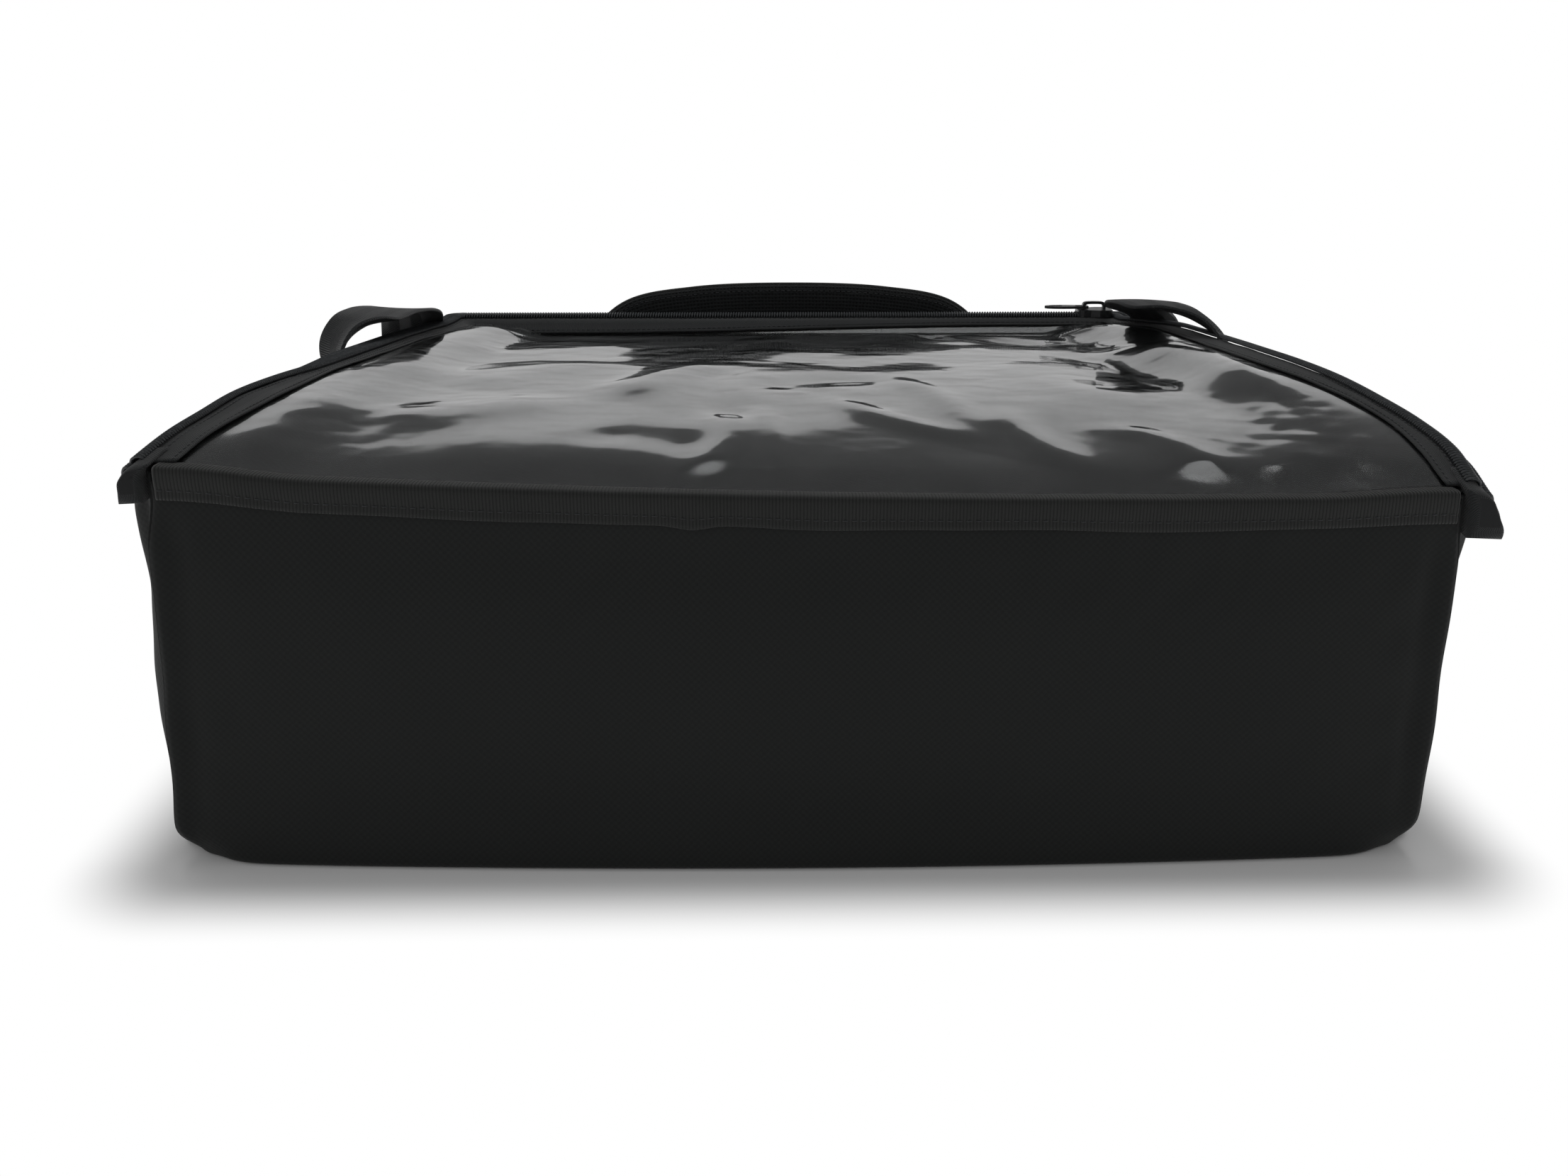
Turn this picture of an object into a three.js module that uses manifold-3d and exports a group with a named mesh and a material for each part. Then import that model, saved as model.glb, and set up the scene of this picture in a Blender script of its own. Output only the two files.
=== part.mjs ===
// A soft insulated delivery bag for flat boxes: woven outer panels over foam boards and a lining tub,
// with a padded lid under a clear sheet, zipped round three sides and sewn to the rear wall.
// Millimetres, +Z up. X runs along the hinge seam, Y from the rear (hinge) wall to the front (handle) wall.
// The origin is the middle of the underside.
import * as THREE from "three";
import { mergeVertices } from "three/addons/utils/BufferGeometryUtils.js";
import Module from "manifold-3d";

const wasm = await Module();
wasm.setup();

// Plan of the bag
const bagWidth = 457;
const bagDepth = 457;
const rearCornerRadius = 5;
const frontCornerRadius = 18;
const baseEdgeRadius = 6;

// Height of the zipper rim, which sags and rises round the bag
const rearLeftRim = 154;
const rearRightRim = 144;
const frontRim = 146;
const leftRimArch = 8;
const rightRimArch = 13;
const rearRimDip = 4;
const archPeakShare = 1 / 3;
const frontLevel = 34;

// How far each soft wall stands proud of its seams
const leftBulge = 13;
const rightBulge = 6;
const frontBulge = 4;
const rearBulge = 3;
const bulgeHeightShares = [0, 0.12, 0.3, 0.5, 0.7, 0.84, 1];
const bulgeRiseShares = [0, 0.35, 0.85, 1, 0.75, 0.2, 0];
const bulgeLengthShares = [0, 0.06, 0.2, 0.35, 0.5, 0.65, 0.8, 0.94, 1];
const bulgeLengthRiseShares = [0, 0.45, 0.85, 0.97, 1, 0.97, 0.85, 0.45, 0];

// Slack of each side wall, standing out in an upright fold just behind its rear corner
const leftFold = 14;
const rightFold = 9;
const foldDistances = [0, 7, 16, 34, 62];
const foldReachShares = [0, 0.72, 1, 0.6, 0];
const foldHeightShares = [0, 0.12, 0.3, 0.5, 0.7, 0.84, 1];
const foldRiseShares = [0, 0.75, 1, 1, 0.8, 0, 0];

// Sheet stock and clearances
const fabric = 1;
const liningFilm = 0.6;
const clearSheet = 0.6;
const wallFoam = 6;
const baseFoam = 8;
const lidFoam = 6;
const fitGap = 0.3;
const lidLayerGap = 0.4;
const cutOverrun = 5;
const leastRadius = 0.5;

// Insulation boards and lining tub
const boardHeadroom = 20;
const boardFoot = 7;
const boardEndRelief = 2;

// Zipper chain: two woven tapes, each with a row of coil
const chainInset = 12;
const rowWidth = 5;
const rowHeight = 3;
const rowChamfer = 0.9;
const rowGap = 0.3;
const rowSpread = 1.7;
const tape = 0.8;
const tapeSetback = 1.45;
const rimTapeDrop = 14;
const lidTapeReach = 31.5;
const zipEnd = 14;

// Lid
const lidDip = 7;
const lidSag = 8;
const lidDipRun = 200;
const lidPanelInset = 22;
const windowInset = 24;
const lidBoardInset = 26;
const lidLiningInset = 24.5;
const lidSeamInset = 0.6;
const lidBoardSetback = 12;
const lidRingSetback = 13.5;
const lidRingShares = [0.72, 0.4];

// Grosgrain binding folded over the hinge seam
const bindingStandOff = 0.6;
const bindingThickness = 1.5;
const bindingDrop = 10;
const bindingFlange = 7;
const bindingCap = 1.1;
const bindingEnd = 8;

// Folded tape ends over the two rear corners
const tabStandOff = 2.2;
const tabThickness = 1.8;
const tabDrop = 20;
const tabFlange = 4.5;
const tabCap = 0.9;
const tabLength = 20;
const tabWrap = 80;

// Slider
const sliderLength = 22;
const sliderParking = 1.5;
const sliderPlate = 1.6;
const sliderRunning = 0.35;
const sliderTapeGap = 0.4;
const flangeWall = 1.9;
const spreadStart = -3;
const spreadEnd = 2.5;
const noseTaper = 3;
const tailTaper = 3.5;
const postStart = 4.5;
const postEnd = 9.5;
const postHalfWidth = 1.2;
const bridgeStart = -7.5;
const bridgeEnd = 7.5;
const bridgeHalfWidth = 1.8;
const bridgeRise = 4.8;
const bridgeBar = 1.6;
const bridgeSink = 0.4;

// Pull tab
const pullLength = 28;
const pullHalfWidth = 4.7;
const pullNeckHalfWidth = 3.6;
const pullThickness = 1.6;
const pullLift = 0.4;
const pullBar = 1.6;
const pullEyeLength = 6.6;
const pullEyeHalfWidth = 2.3;
const pullEyeRadius = 0.6;
const pullHoleRadius = 2;
const pullHoleSlot = 5;
const pullHoleMargin = 2.6;

// Webbing loops on the side walls
const webbing = 2;
const loopWidth = 38;
const loopFrontMargin = 48.5;
const leftLoopReach = 158;
const rightLoopReach = 118;
const loopTailFootHeight = 66;
const loopSeatHeight = 118;
const loopStandOff = 1;
const loopRiseHeight = 48;
const loopLeanWidth = 3;
const loopShoulderWidth = 58;
const loopTwistHeight = 146;
const leftLoopTurn = 104;
const rightLoopTurn = 62;

// Padded handle on the front wall
const handleSpan = 244;
const handleSeatHeight = 90;
const handleTailFootHeight = 52;
const handleCrestHeight = 143;
const handleShoulderHeight = 43;
const handleShoulderWidth = 22;
const handleWidth = 38;
const padThickness = 11;
const padStandOff = 3.6;
const padEndLength = 12;
const padRound = 3.5;
const strapWidth = 25;
const strapThickness = 2.4;
const strapSlotGap = 0.4;
const tailStandOff = 0.9;

// Facets
const sideSteps = 14;
const cornerSteps = 3;
const rearSteps = 12;
const handleSteps = 22;
const loopSteps = 28;
const weld = 1e-4;

const halfWidth = bagWidth / 2;
const halfDepth = bagDepth / 2;
const quarterTurn = Math.PI / 2;
const rowTop = rowHeight;
const windowDrop = rowTop + tape + fitGap;
const panelDrop = windowDrop + clearSheet + fitGap;
const lidBoardDrop = panelDrop + fabric + lidLayerGap;
const lidLiningDrop = lidBoardDrop + lidFoam + lidLayerGap;
const rearWallDrop = panelDrop + fabric + fitGap;
const rowStart = chainInset + rowGap / 2;
const boardTop = frontRim - boardHeadroom;
const loopFrontY = halfDepth - loopFrontMargin;
const sliderCentre = halfWidth - frontCornerRadius - sliderLength / 2 - sliderParking;
const tailHalf = rowGap / 2 + rowWidth + sliderRunning;
const noseHalf = tailHalf + rowSpread;
const dipStart = chainInset + noseHalf + flangeWall + fitGap;

const corners = {
  rearLeft: corner(-1, -1, rearCornerRadius),
  rearRight: corner(1, -1, rearCornerRadius),
  frontRight: corner(1, 1, frontCornerRadius),
  frontLeft: corner(-1, 1, frontCornerRadius),
};

function corner(sx, sy, radius) {
  return {
    sx,
    sy,
    radius,
    centre: new THREE.Vector2(sx * (halfWidth - radius), sy * (halfDepth - radius)),
  };
}

// A station is a place on the bag's outline in plan, with its outward normal.
function arc(at, fromTurns, toTurns, steps) {
  return Array.from({ length: steps + 1 }, (_, i) => {
    const angle = quarterTurn * THREE.MathUtils.lerp(fromTurns, toTurns, i / steps);
    const normal = new THREE.Vector2(Math.cos(angle), Math.sin(angle));
    return { corner: at, normal, foot: at.centre.clone().addScaledVector(normal, at.radius) };
  });
}

function line(from, to, normal, shares) {
  return shares.map((share) => ({ normal, foot: from.clone().lerp(to, share) }));
}

function evenShares(steps) {
  return Array.from({ length: steps + 1 }, (_, i) => i / steps);
}

// A station's point at a distance inside the outline. Past a corner's centre it is the corner of a square,
// and a straight run near a front corner ends there too.
function inset(station, distance) {
  const at = station.corner;
  if (!at) {
    const p = station.foot.clone().addScaledVector(station.normal, -distance);
    const limit = halfWidth - distance;
    return p.set(THREE.MathUtils.clamp(p.x, -limit, limit), Math.min(p.y, halfDepth - distance));
  }
  const left = at.radius - distance;
  if (left > 0) return at.centre.clone().addScaledVector(station.normal, left);
  return new THREE.Vector2(at.centre.x + at.sx * left, at.centre.y + at.sy * left);
}

function interpolate(at, places, values) {
  const next = places.findIndex((place) => place >= at);
  if (next <= 0) return values[next < 0 ? values.length - 1 : 0];
  const share = (at - places[next - 1]) / (places[next] - places[next - 1]);
  return THREE.MathUtils.lerp(values[next - 1], values[next], share);
}

// Rim height at any place in plan, level along the front where the slider runs.
function rimHeight(x, y) {
  const { lerp, clamp } = THREE.MathUtils;
  const u = clamp((x + halfWidth) / bagWidth, 0, 1);
  const v = clamp((y + halfDepth) / (bagDepth - frontLevel), 0, 1);
  const dip = rearRimDip * Math.sin(Math.PI * u) * (1 - v);
  const arch = (share) => share * (1 - share) ** 2;
  const rise = (lerp(leftRimArch, rightRimArch, u) * arch(v)) / arch(archPeakShare);
  return lerp(lerp(rearLeftRim, rearRightRim, u), frontRim, v) - dip + rise;
}

// Closed mesh from a grid of outer points and a grid of inner points, joined round the border.
function slab(outer, inner, { ring = false } = {}) {
  const rows = outer.length;
  const columns = outer[0].length;
  const positions = [...outer.flat(), ...inner.flat()].flatMap((p) => [p.x, p.y, p.z]);
  const index = [];
  const quad = (a, b, c, d) => index.push(a, b, c, a, c, d);
  const at = (side, i, j) => side * rows * columns + (i % rows) * columns + j;
  const lastRow = ring ? rows : rows - 1;
  for (let i = 0; i < lastRow; i++) {
    for (let j = 0; j < columns - 1; j++) {
      quad(at(0, i, j), at(0, i + 1, j), at(0, i + 1, j + 1), at(0, i, j + 1));
      quad(at(1, i, j), at(1, i, j + 1), at(1, i + 1, j + 1), at(1, i + 1, j));
    }
    quad(at(0, i, 0), at(1, i, 0), at(1, i + 1, 0), at(0, i + 1, 0));
    const end = columns - 1;
    quad(at(0, i, end), at(0, i + 1, end), at(1, i + 1, end), at(1, i, end));
  }
  if (!ring) {
    for (let j = 0; j < columns - 1; j++) {
      quad(at(0, 0, j), at(0, 0, j + 1), at(1, 0, j + 1), at(1, 0, j));
      const end = rows - 1;
      quad(at(0, end, j), at(1, end, j), at(1, end, j + 1), at(0, end, j + 1));
    }
  }
  return closed(positions, index);
}

// Closed tube through a list of sections, each the same polygon of 3-D points, with flat ends.
function tube(sections, polygon) {
  const sides = polygon.length;
  const positions = sections.flat().flatMap((p) => [p.x, p.y, p.z]);
  const index = [];
  for (let i = 0; i < sections.length - 1; i++) {
    for (let k = 0; k < sides; k++) {
      const a = i * sides + k;
      const b = i * sides + ((k + 1) % sides);
      index.push(a, b, b + sides, a, b + sides, a + sides);
    }
  }
  const turnsLeft = !THREE.ShapeUtils.isClockWise(polygon);
  const last = (sections.length - 1) * sides;
  for (const [a, b, c] of THREE.ShapeUtils.triangulateShape(polygon, [])) {
    if (turnsLeft) index.push(a, c, b, last + a, last + b, last + c);
    else index.push(a, b, c, last + a, last + c, last + b);
  }
  return closed(positions, index);
}

// Welds equal points, drops the triangles that this empties and turns the faces outwards.
function closed(positions, index) {
  const loose = new THREE.BufferGeometry();
  loose.setAttribute("position", new THREE.Float32BufferAttribute(positions, 3));
  loose.setIndex(index);
  const welded = mergeVertices(loose, weld);
  const kept = [];
  const source = welded.index.array;
  for (let i = 0; i < source.length; i += 3) {
    const [a, b, c] = source.slice(i, i + 3);
    if (a !== b && b !== c && c !== a) kept.push(a, b, c);
  }
  if (signedVolume(welded.attributes.position, kept) < 0) kept.reverse();
  welded.setIndex(kept);
  return welded;
}

function signedVolume(position, index) {
  const [a, b, c] = [0, 1, 2].map(() => new THREE.Vector3());
  let sum = 0;
  for (let i = 0; i < index.length; i += 3) {
    a.fromBufferAttribute(position, index[i]);
    b.fromBufferAttribute(position, index[i + 1]);
    c.fromBufferAttribute(position, index[i + 2]);
    sum += a.dot(b.cross(c));
  }
  return sum;
}

function solid(geometry) {
  const bare = new THREE.BufferGeometry();
  bare.setAttribute("position", geometry.getAttribute("position"));
  if (geometry.index) bare.setIndex(geometry.index);
  const merged = mergeVertices(bare, weld);
  return new wasm.Manifold(
    new wasm.Mesh({
      numProp: 3,
      vertProperties: new Float32Array(merged.attributes.position.array),
      triVerts: new Uint32Array(merged.index.array),
    }),
  );
}

function geometryOf(made) {
  const mesh = made.getMesh();
  const geometry = new THREE.BufferGeometry();
  geometry.setAttribute("position", new THREE.BufferAttribute(mesh.vertProperties, 3));
  geometry.setIndex(new THREE.BufferAttribute(mesh.triVerts, 1));
  return geometry;
}

function extrude(shape, depth, lift = 0, curveSegments = cornerSteps) {
  const geometry = new THREE.ExtrudeGeometry(shape, { depth, bevelEnabled: false, curveSegments });
  return geometry.translate(0, 0, lift);
}

const finishes = {
  wovenPolyester: { color: 0x17171a, roughness: 0.85, metalness: 0 },
  foam: { color: 0xd9d9d6, roughness: 0.9, metalness: 0 },
  foil: { color: 0xc4c7ca, roughness: 0.35, metalness: 0.6 },
  clearSheet: { color: 0xe8edf0, roughness: 0.06, metalness: 0, transparent: true, opacity: 0.35 },
  tape: { color: 0x1c1c1f, roughness: 0.8, metalness: 0 },
  grosgrain: { color: 0x151517, roughness: 0.8, metalness: 0 },
  coil: { color: 0x222226, roughness: 0.45, metalness: 0 },
  webbing: { color: 0x18181c, roughness: 0.75, metalness: 0 },
  mesh: { color: 0x1d1d20, roughness: 0.9, metalness: 0 },
  paintedZinc: { color: 0x101012, roughness: 0.35, metalness: 0.5 },
};

const bag = new THREE.Group();

function add(name, geometry, finish) {
  const mesh = new THREE.Mesh(geometry, new THREE.MeshStandardMaterial(finishes[finish]));
  mesh.name = name;
  bag.add(mesh);
  return mesh;
}

// Walls. Each has two half corners and the straight run between them.
const straight = {
  rear: { from: corners.rearLeft, to: corners.rearRight, turns: 3, bulge: rearBulge, fold: 0 },
  right: { from: corners.rearRight, to: corners.frontRight, turns: 0, bulge: rightBulge, fold: rightFold },
  front: { from: corners.frontRight, to: corners.frontLeft, turns: 1, bulge: frontBulge, fold: 0 },
  left: { from: corners.frontLeft, to: corners.rearLeft, turns: 2, bulge: leftBulge, fold: leftFold },
};
const sideRun = bagDepth - rearCornerRadius - frontCornerRadius;

function straightStations(wall, shares) {
  const { from, to, turns } = straight[wall];
  const normal = new THREE.Vector2(Math.cos(quarterTurn * turns), Math.sin(quarterTurn * turns)).round();
  const start = from.centre.clone().addScaledVector(normal, from.radius);
  const stop = to.centre.clone().addScaledVector(normal, to.radius);
  return line(start, stop, normal, shares).map((s, i) => ({ ...s, along: shares[i] }));
}

// Share of a wall's straight run at an X (front, rear) or a Y (sides).
function alongOf(wall, place) {
  const { from, to, turns } = straight[wall];
  const axis = turns % 2 ? "x" : "y";
  return (place - from.centre[axis]) / (to.centre[axis] - from.centre[axis]);
}

// Shares of a wall's run where its profile is drawn: those of its bulge, and on a side wall those of its fold.
function profileShares(wall) {
  if (!straight[wall].fold) return bulgeLengthShares;
  const fromRear = foldDistances.slice(1).map((distance) => distance / sideRun);
  const folded = wall === "right" ? fromRear : fromRear.map((share) => 1 - share);
  return [...bulgeLengthShares, ...folded].sort((a, b) => a - b);
}

function wallStations(wall) {
  const { from, to, turns } = straight[wall];
  const seam = (at) => fitGap / (2 * at.radius * quarterTurn);
  const half = 0.5;
  return [
    ...arc(from, turns - half + seam(from), turns, cornerSteps - 1).slice(0, -1),
    ...straightStations(wall, profileShares(wall)),
    ...arc(to, turns, turns + half - seam(to), cornerSteps - 1).slice(1),
  ];
}

function bulgeAt(wall, along, heightShare) {
  const { bulge, fold } = straight[wall];
  const rise = interpolate(heightShare, bulgeHeightShares, bulgeRiseShares);
  const belly = bulge * rise * interpolate(along, bulgeLengthShares, bulgeLengthRiseShares);
  const fromRear = sideRun * (wall === "right" ? along : 1 - along);
  const folded = interpolate(heightShare, foldHeightShares, foldRiseShares);
  return belly + fold * folded * interpolate(fromRear, foldDistances, foldReachShares);
}

// How far a wall stands out at a share of its run and a height.
function bulgeOn(wall, along, z) {
  const top = wallTop(wall, straightStations(wall, [along])[0].foot);
  return bulgeAt(wall, along, (z - baseEdgeRadius) / (top - baseEdgeRadius));
}

function wallTop(wall, foot) {
  return rimHeight(foot.x, foot.y) - (wall === "rear" ? rearWallDrop : rowTop);
}

// Levels of a wall's profile: the turned-in foot, then up the face. Each gives an outer and an inner point.
function wallPanel(wall) {
  const outer = [];
  const inner = [];
  const place = (station, distance, z) => {
    const p = inset(station, distance);
    return new THREE.Vector3(p.x, p.y, z);
  };
  for (const station of wallStations(wall)) {
    const top = wallTop(wall, station.foot);
    const outerLine = [];
    const innerLine = [];
    for (const turn of evenShares(2)) {
      const angle = quarterTurn * turn;
      const [reach, drop] = [Math.sin(angle), Math.cos(angle)];
      const at = (radius) => [baseEdgeRadius - radius * reach, baseEdgeRadius - radius * drop];
      outerLine.push(place(station, ...at(baseEdgeRadius)));
      innerLine.push(place(station, ...at(baseEdgeRadius - fabric)));
    }
    bulgeHeightShares.slice(1).forEach((share) => {
      const z = THREE.MathUtils.lerp(baseEdgeRadius, top, share);
      const out = station.along === undefined ? 0 : bulgeAt(wall, station.along, share);
      outerLine.push(place(station, -out, z));
      innerLine.push(place(station, fabric - out, z));
    });
    outer.push(outerLine);
    inner.push(innerLine);
  }
  return slab(outer, inner);
}

function planShape(distance) {
  const order = [corners.rearLeft, corners.rearRight, corners.frontRight, corners.frontLeft];
  const shape = new THREE.Shape();
  order.forEach((at, k) => {
    const radius = Math.max(at.radius - distance, leastRadius);
    const [x, y] = [at.sx * (halfWidth - distance - radius), at.sy * (halfDepth - distance - radius)];
    const start = quarterTurn * (k + 2);
    shape.absarc(x, y, radius, start, start + quarterTurn, false);
  });
  return shape;
}

// The base: outer fabric, foam board, then four wall boards and the lining tub.
function baseAndLining() {
  add("base_panel", extrude(planShape(baseEdgeRadius + fitGap), fabric), "wovenPolyester");
  const tubInset = fabric + fitGap + wallFoam + fitGap;
  add("base_board", extrude(planShape(tubInset), baseFoam, fabric + fitGap), "foam");
  const tubFloor = fabric + fitGap + baseFoam + fitGap;
  const tubOutside = extrude(planShape(tubInset), boardTop - tubFloor, tubFloor);
  const tubInside = extrude(
    planShape(tubInset + liningFilm),
    boardTop - tubFloor + cutOverrun,
    tubFloor + liningFilm,
  );
  add("lining_tub", geometryOf(solid(tubOutside).subtract(solid(tubInside))), "foil");
  const height = boardTop - boardFoot;
  const lift = boardFoot + height / 2;
  const seat = fabric + fitGap + wallFoam / 2;
  const rearEnd = Math.max(rearCornerRadius, seat + wallFoam / 2);
  const rearRun = bagWidth - 2 * rearEnd - boardEndRelief;
  const frontRun = bagWidth - 2 * frontCornerRadius - boardEndRelief;
  const sideBoardRun = sideRun - boardEndRelief;
  const sideMiddle = (rearCornerRadius - frontCornerRadius) / 2;
  const board = (name, x, y, wide, deep) => {
    const box = new THREE.BoxGeometry(wide, deep, height);
    add(name, box, "foam").position.set(x, y, lift);
  };
  board("rear_board", 0, seat - halfDepth, rearRun, wallFoam);
  board("front_board", 0, halfDepth - seat, frontRun, wallFoam);
  board("left_board", seat - halfWidth, sideMiddle, wallFoam, sideBoardRun);
  board("right_board", halfWidth - seat, sideMiddle, wallFoam, sideBoardRun);
}

// Zipper path: up the right side from the hinge end, across the front, down the left side.
function zipStations() {
  const rearEnd = (wall) => {
    const shares = evenShares(sideSteps);
    const stations = straightStations(wall, shares);
    const end = stations[wall === "right" ? 0 : stations.length - 1];
    end.foot = end.foot.clone().setY(zipEnd - halfDepth);
    return stations;
  };
  const run = bagWidth - 2 * frontCornerRadius;
  const shareOf = (x) => (halfWidth - frontCornerRadius - x) / run;
  const nose = shareOf(sliderCentre + spreadEnd);
  const tail = shareOf(sliderCentre + spreadStart);
  const rest = evenShares(sideSteps).slice(1);
  return [
    ...rearEnd("right"),
    ...arc(corners.frontRight, 0, 1, cornerSteps).slice(1, -1),
    ...straightStations("front", [0, nose, tail, ...rest]),
    ...arc(corners.frontLeft, 1, 2, cornerSteps).slice(1, -1),
    ...rearEnd("left"),
  ].map((s) => ({ ...s, spread: spreadAt(s.foot) }));
}

// The rows run parted from the slider's nose round the right side, and meshed behind its tail.
function spreadAt(foot) {
  const inFront = (foot.x - sliderCentre - spreadStart) / (spreadEnd - spreadStart);
  return rowSpread * THREE.MathUtils.clamp(inFront, 0, 1);
}

// Sweeps a section of [distance inside the outline, height over the tape, how it follows the spread].
function sweepZip(stations, section) {
  const sections = stations.map((station) =>
    section.map(([distance, height, follows]) => {
      const p = inset(station, distance + follows * station.spread);
      const fade = lidDip * dipFade(p.y) * dipShare(distance);
      const base = rimHeight(station.foot.x, station.foot.y) - rowTop - fade;
      return new THREE.Vector3(p.x, p.y, base + height);
    }),
  );
  return tube(sections, section.map(([distance, height]) => new THREE.Vector2(distance, height)));
}

function dipFade(y) {
  return THREE.MathUtils.smoothstep(y, -halfDepth, lidDipRun - halfDepth);
}

function dipShare(distance) {
  return THREE.MathUtils.clamp((distance - dipStart) / (lidTapeReach - dipStart), 0, 1);
}

function rowSection(start, follows) {
  const end = start + rowWidth;
  return [
    [start, fitGap, follows],
    [end, fitGap, follows],
    [end, rowTop - rowChamfer, follows],
    [end - rowChamfer, rowTop, follows],
    [start + rowChamfer, rowTop, follows],
    [start, rowTop - rowChamfer, follows],
  ];
}

function zipper(stations) {
  const edge = rowGap / 2 + tapeSetback;
  const leg = fabric + fitGap;
  const rimTape = [
    [chainInset - edge, 0, -1],
    [chainInset - edge, -tape, -1],
    [leg + tape, -tape, 0],
    [leg + tape, -rimTapeDrop, 0],
    [leg, -rimTapeDrop, 0],
    [leg, 0, 0],
  ];
  const lidTape = [
    [chainInset + edge, -tape, 1],
    [dipStart, -tape, 0],
    [lidTapeReach, -tape, 0],
    [lidTapeReach, 0, 0],
    [dipStart, 0, 0],
    [chainInset + edge, 0, 1],
  ];
  add("rim_tape", sweepZip(stations, rimTape), "tape");
  add("rim_coil", sweepZip(stations, rowSection(rowStart - rowGap - rowWidth, -1)), "coil");
  add("lid_tape", sweepZip(stations, lidTape), "tape");
  add("lid_coil", sweepZip(stations, rowSection(rowStart, 1)), "coil");
}

// A lid layer follows the zipper inside its own inset, then the hinge seam, and sags to the middle.
function lidLayer(stations, edgeInset, seamInset, drop, thickness) {
  const half = halfWidth - edgeInset;
  const ringHalf = halfWidth - lidTapeReach;
  const ringSeam = lidRingSetback - halfDepth;
  const lower = (p, distance, rim) => {
    const dip = lidDip * dipFade(p.y) * dipShare(distance);
    return new THREE.Vector3(p.x, p.y, rim - drop - dip);
  };
  const inside = (x, y) => {
    const across = 1 - (x / ringHalf) ** 2;
    const along = 1 - (y / (halfDepth - lidTapeReach)) ** 2;
    const sag = lidSag * Math.max(across, 0) * Math.max(along, 0);
    return lower({ x, y }, lidTapeReach, rimHeight(x, y) - sag);
  };
  const spokes = stations.map((station) =>
    [edgeInset, lidTapeReach].map((distance) => {
      const p = inset(station, distance);
      const atFoot = rimHeight(station.foot.x, station.foot.y);
      return lower(p, distance, THREE.MathUtils.lerp(rimHeight(p.x, p.y), atFoot, dipFade(p.y)));
    }),
  );
  for (const share of evenShares(rearSteps)) {
    const side = 2 * share - 1;
    const edge = new THREE.Vector2(side * half, seamInset - halfDepth);
    spokes.push([lower(edge, 0, rimHeight(edge.x, edge.y)), inside(side * ringHalf, ringSeam)]);
  }
  const outer = spokes.map(([edge, ring]) => [
    edge,
    ring,
    ...lidRingShares.map((share) => inside(ring.x * share, ring.y * share)),
    inside(0, 0),
  ]);
  const down = new THREE.Vector3(0, 0, -thickness);
  const inner = outer.map((row) => row.map((p) => p.clone().add(down)));
  return slab(outer, inner, { ring: true });
}

function lid(stations) {
  const seam = lidSeamInset;
  const back = lidBoardSetback;
  const layer = (name, edge, rear, drop, thickness, finish) =>
    add(name, lidLayer(stations, edge, rear, drop, thickness), finish);
  layer("clear_window", windowInset, seam, windowDrop, clearSheet, "clearSheet");
  layer("lid_panel", lidPanelInset, seam, panelDrop, fabric, "wovenPolyester");
  layer("lid_board", lidBoardInset, back, lidBoardDrop, lidFoam, "foam");
  layer("lid_lining", lidLiningInset, back, lidLiningDrop, liningFilm, "foil");
}

function hingeBinding() {
  const face = halfDepth + bindingStandOff;
  const front = face + bindingThickness;
  const section = [
    [-front, bindingCap + fitGap],
    [bindingFlange - halfDepth, bindingCap + fitGap],
    [bindingFlange - halfDepth, fitGap],
    [-face, fitGap],
    [-face, -bindingDrop],
    [-front, -bindingDrop],
  ];
  const run = halfWidth - bindingEnd;
  const sections = evenShares(rearSteps).map((share) => {
    const x = THREE.MathUtils.lerp(-run, run, share);
    return section.map(([y, z]) => new THREE.Vector3(x, y, rimHeight(x, y) - windowDrop + z));
  });
  add("hinge_binding", tube(sections, section.map((p) => new THREE.Vector2(...p))), "grosgrain");
}

// The zipper's tape ends, folded down over each rear corner.
function cornerTab(name, wall) {
  const atRear = wall === "right" ? corners.rearRight : corners.rearLeft;
  const turns = straight[wall].turns;
  const wrap = THREE.MathUtils.degToRad(tabWrap) / quarterTurn;
  const reach = (tabLength - rearCornerRadius) / sideRun;
  const flat = straightStations(wall, wall === "right" ? [0, reach] : [1 - reach, 1]);
  const stations =
    wall === "right"
      ? [...arc(atRear, -wrap, 0, cornerSteps).slice(0, -1), ...flat]
      : [...flat, ...arc(atRear, turns, turns + wrap, cornerSteps).slice(1)];
  const section = [
    [-tabStandOff - tabThickness, tabCap + fitGap],
    [tabFlange, tabCap + fitGap],
    [tabFlange, fitGap],
    [-tabStandOff, fitGap],
    [-tabStandOff, -tabDrop],
    [-tabStandOff - tabThickness, -tabDrop],
  ];
  const sections = stations.map((station) =>
    section.map(([distance, z]) => {
      const p = inset(station, distance);
      return new THREE.Vector3(p.x, p.y, rimHeight(station.foot.x, station.foot.y) - rowTop + z);
    }),
  );
  add(name, tube(sections, section.map((p) => new THREE.Vector2(...p))), "tape");
}

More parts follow.
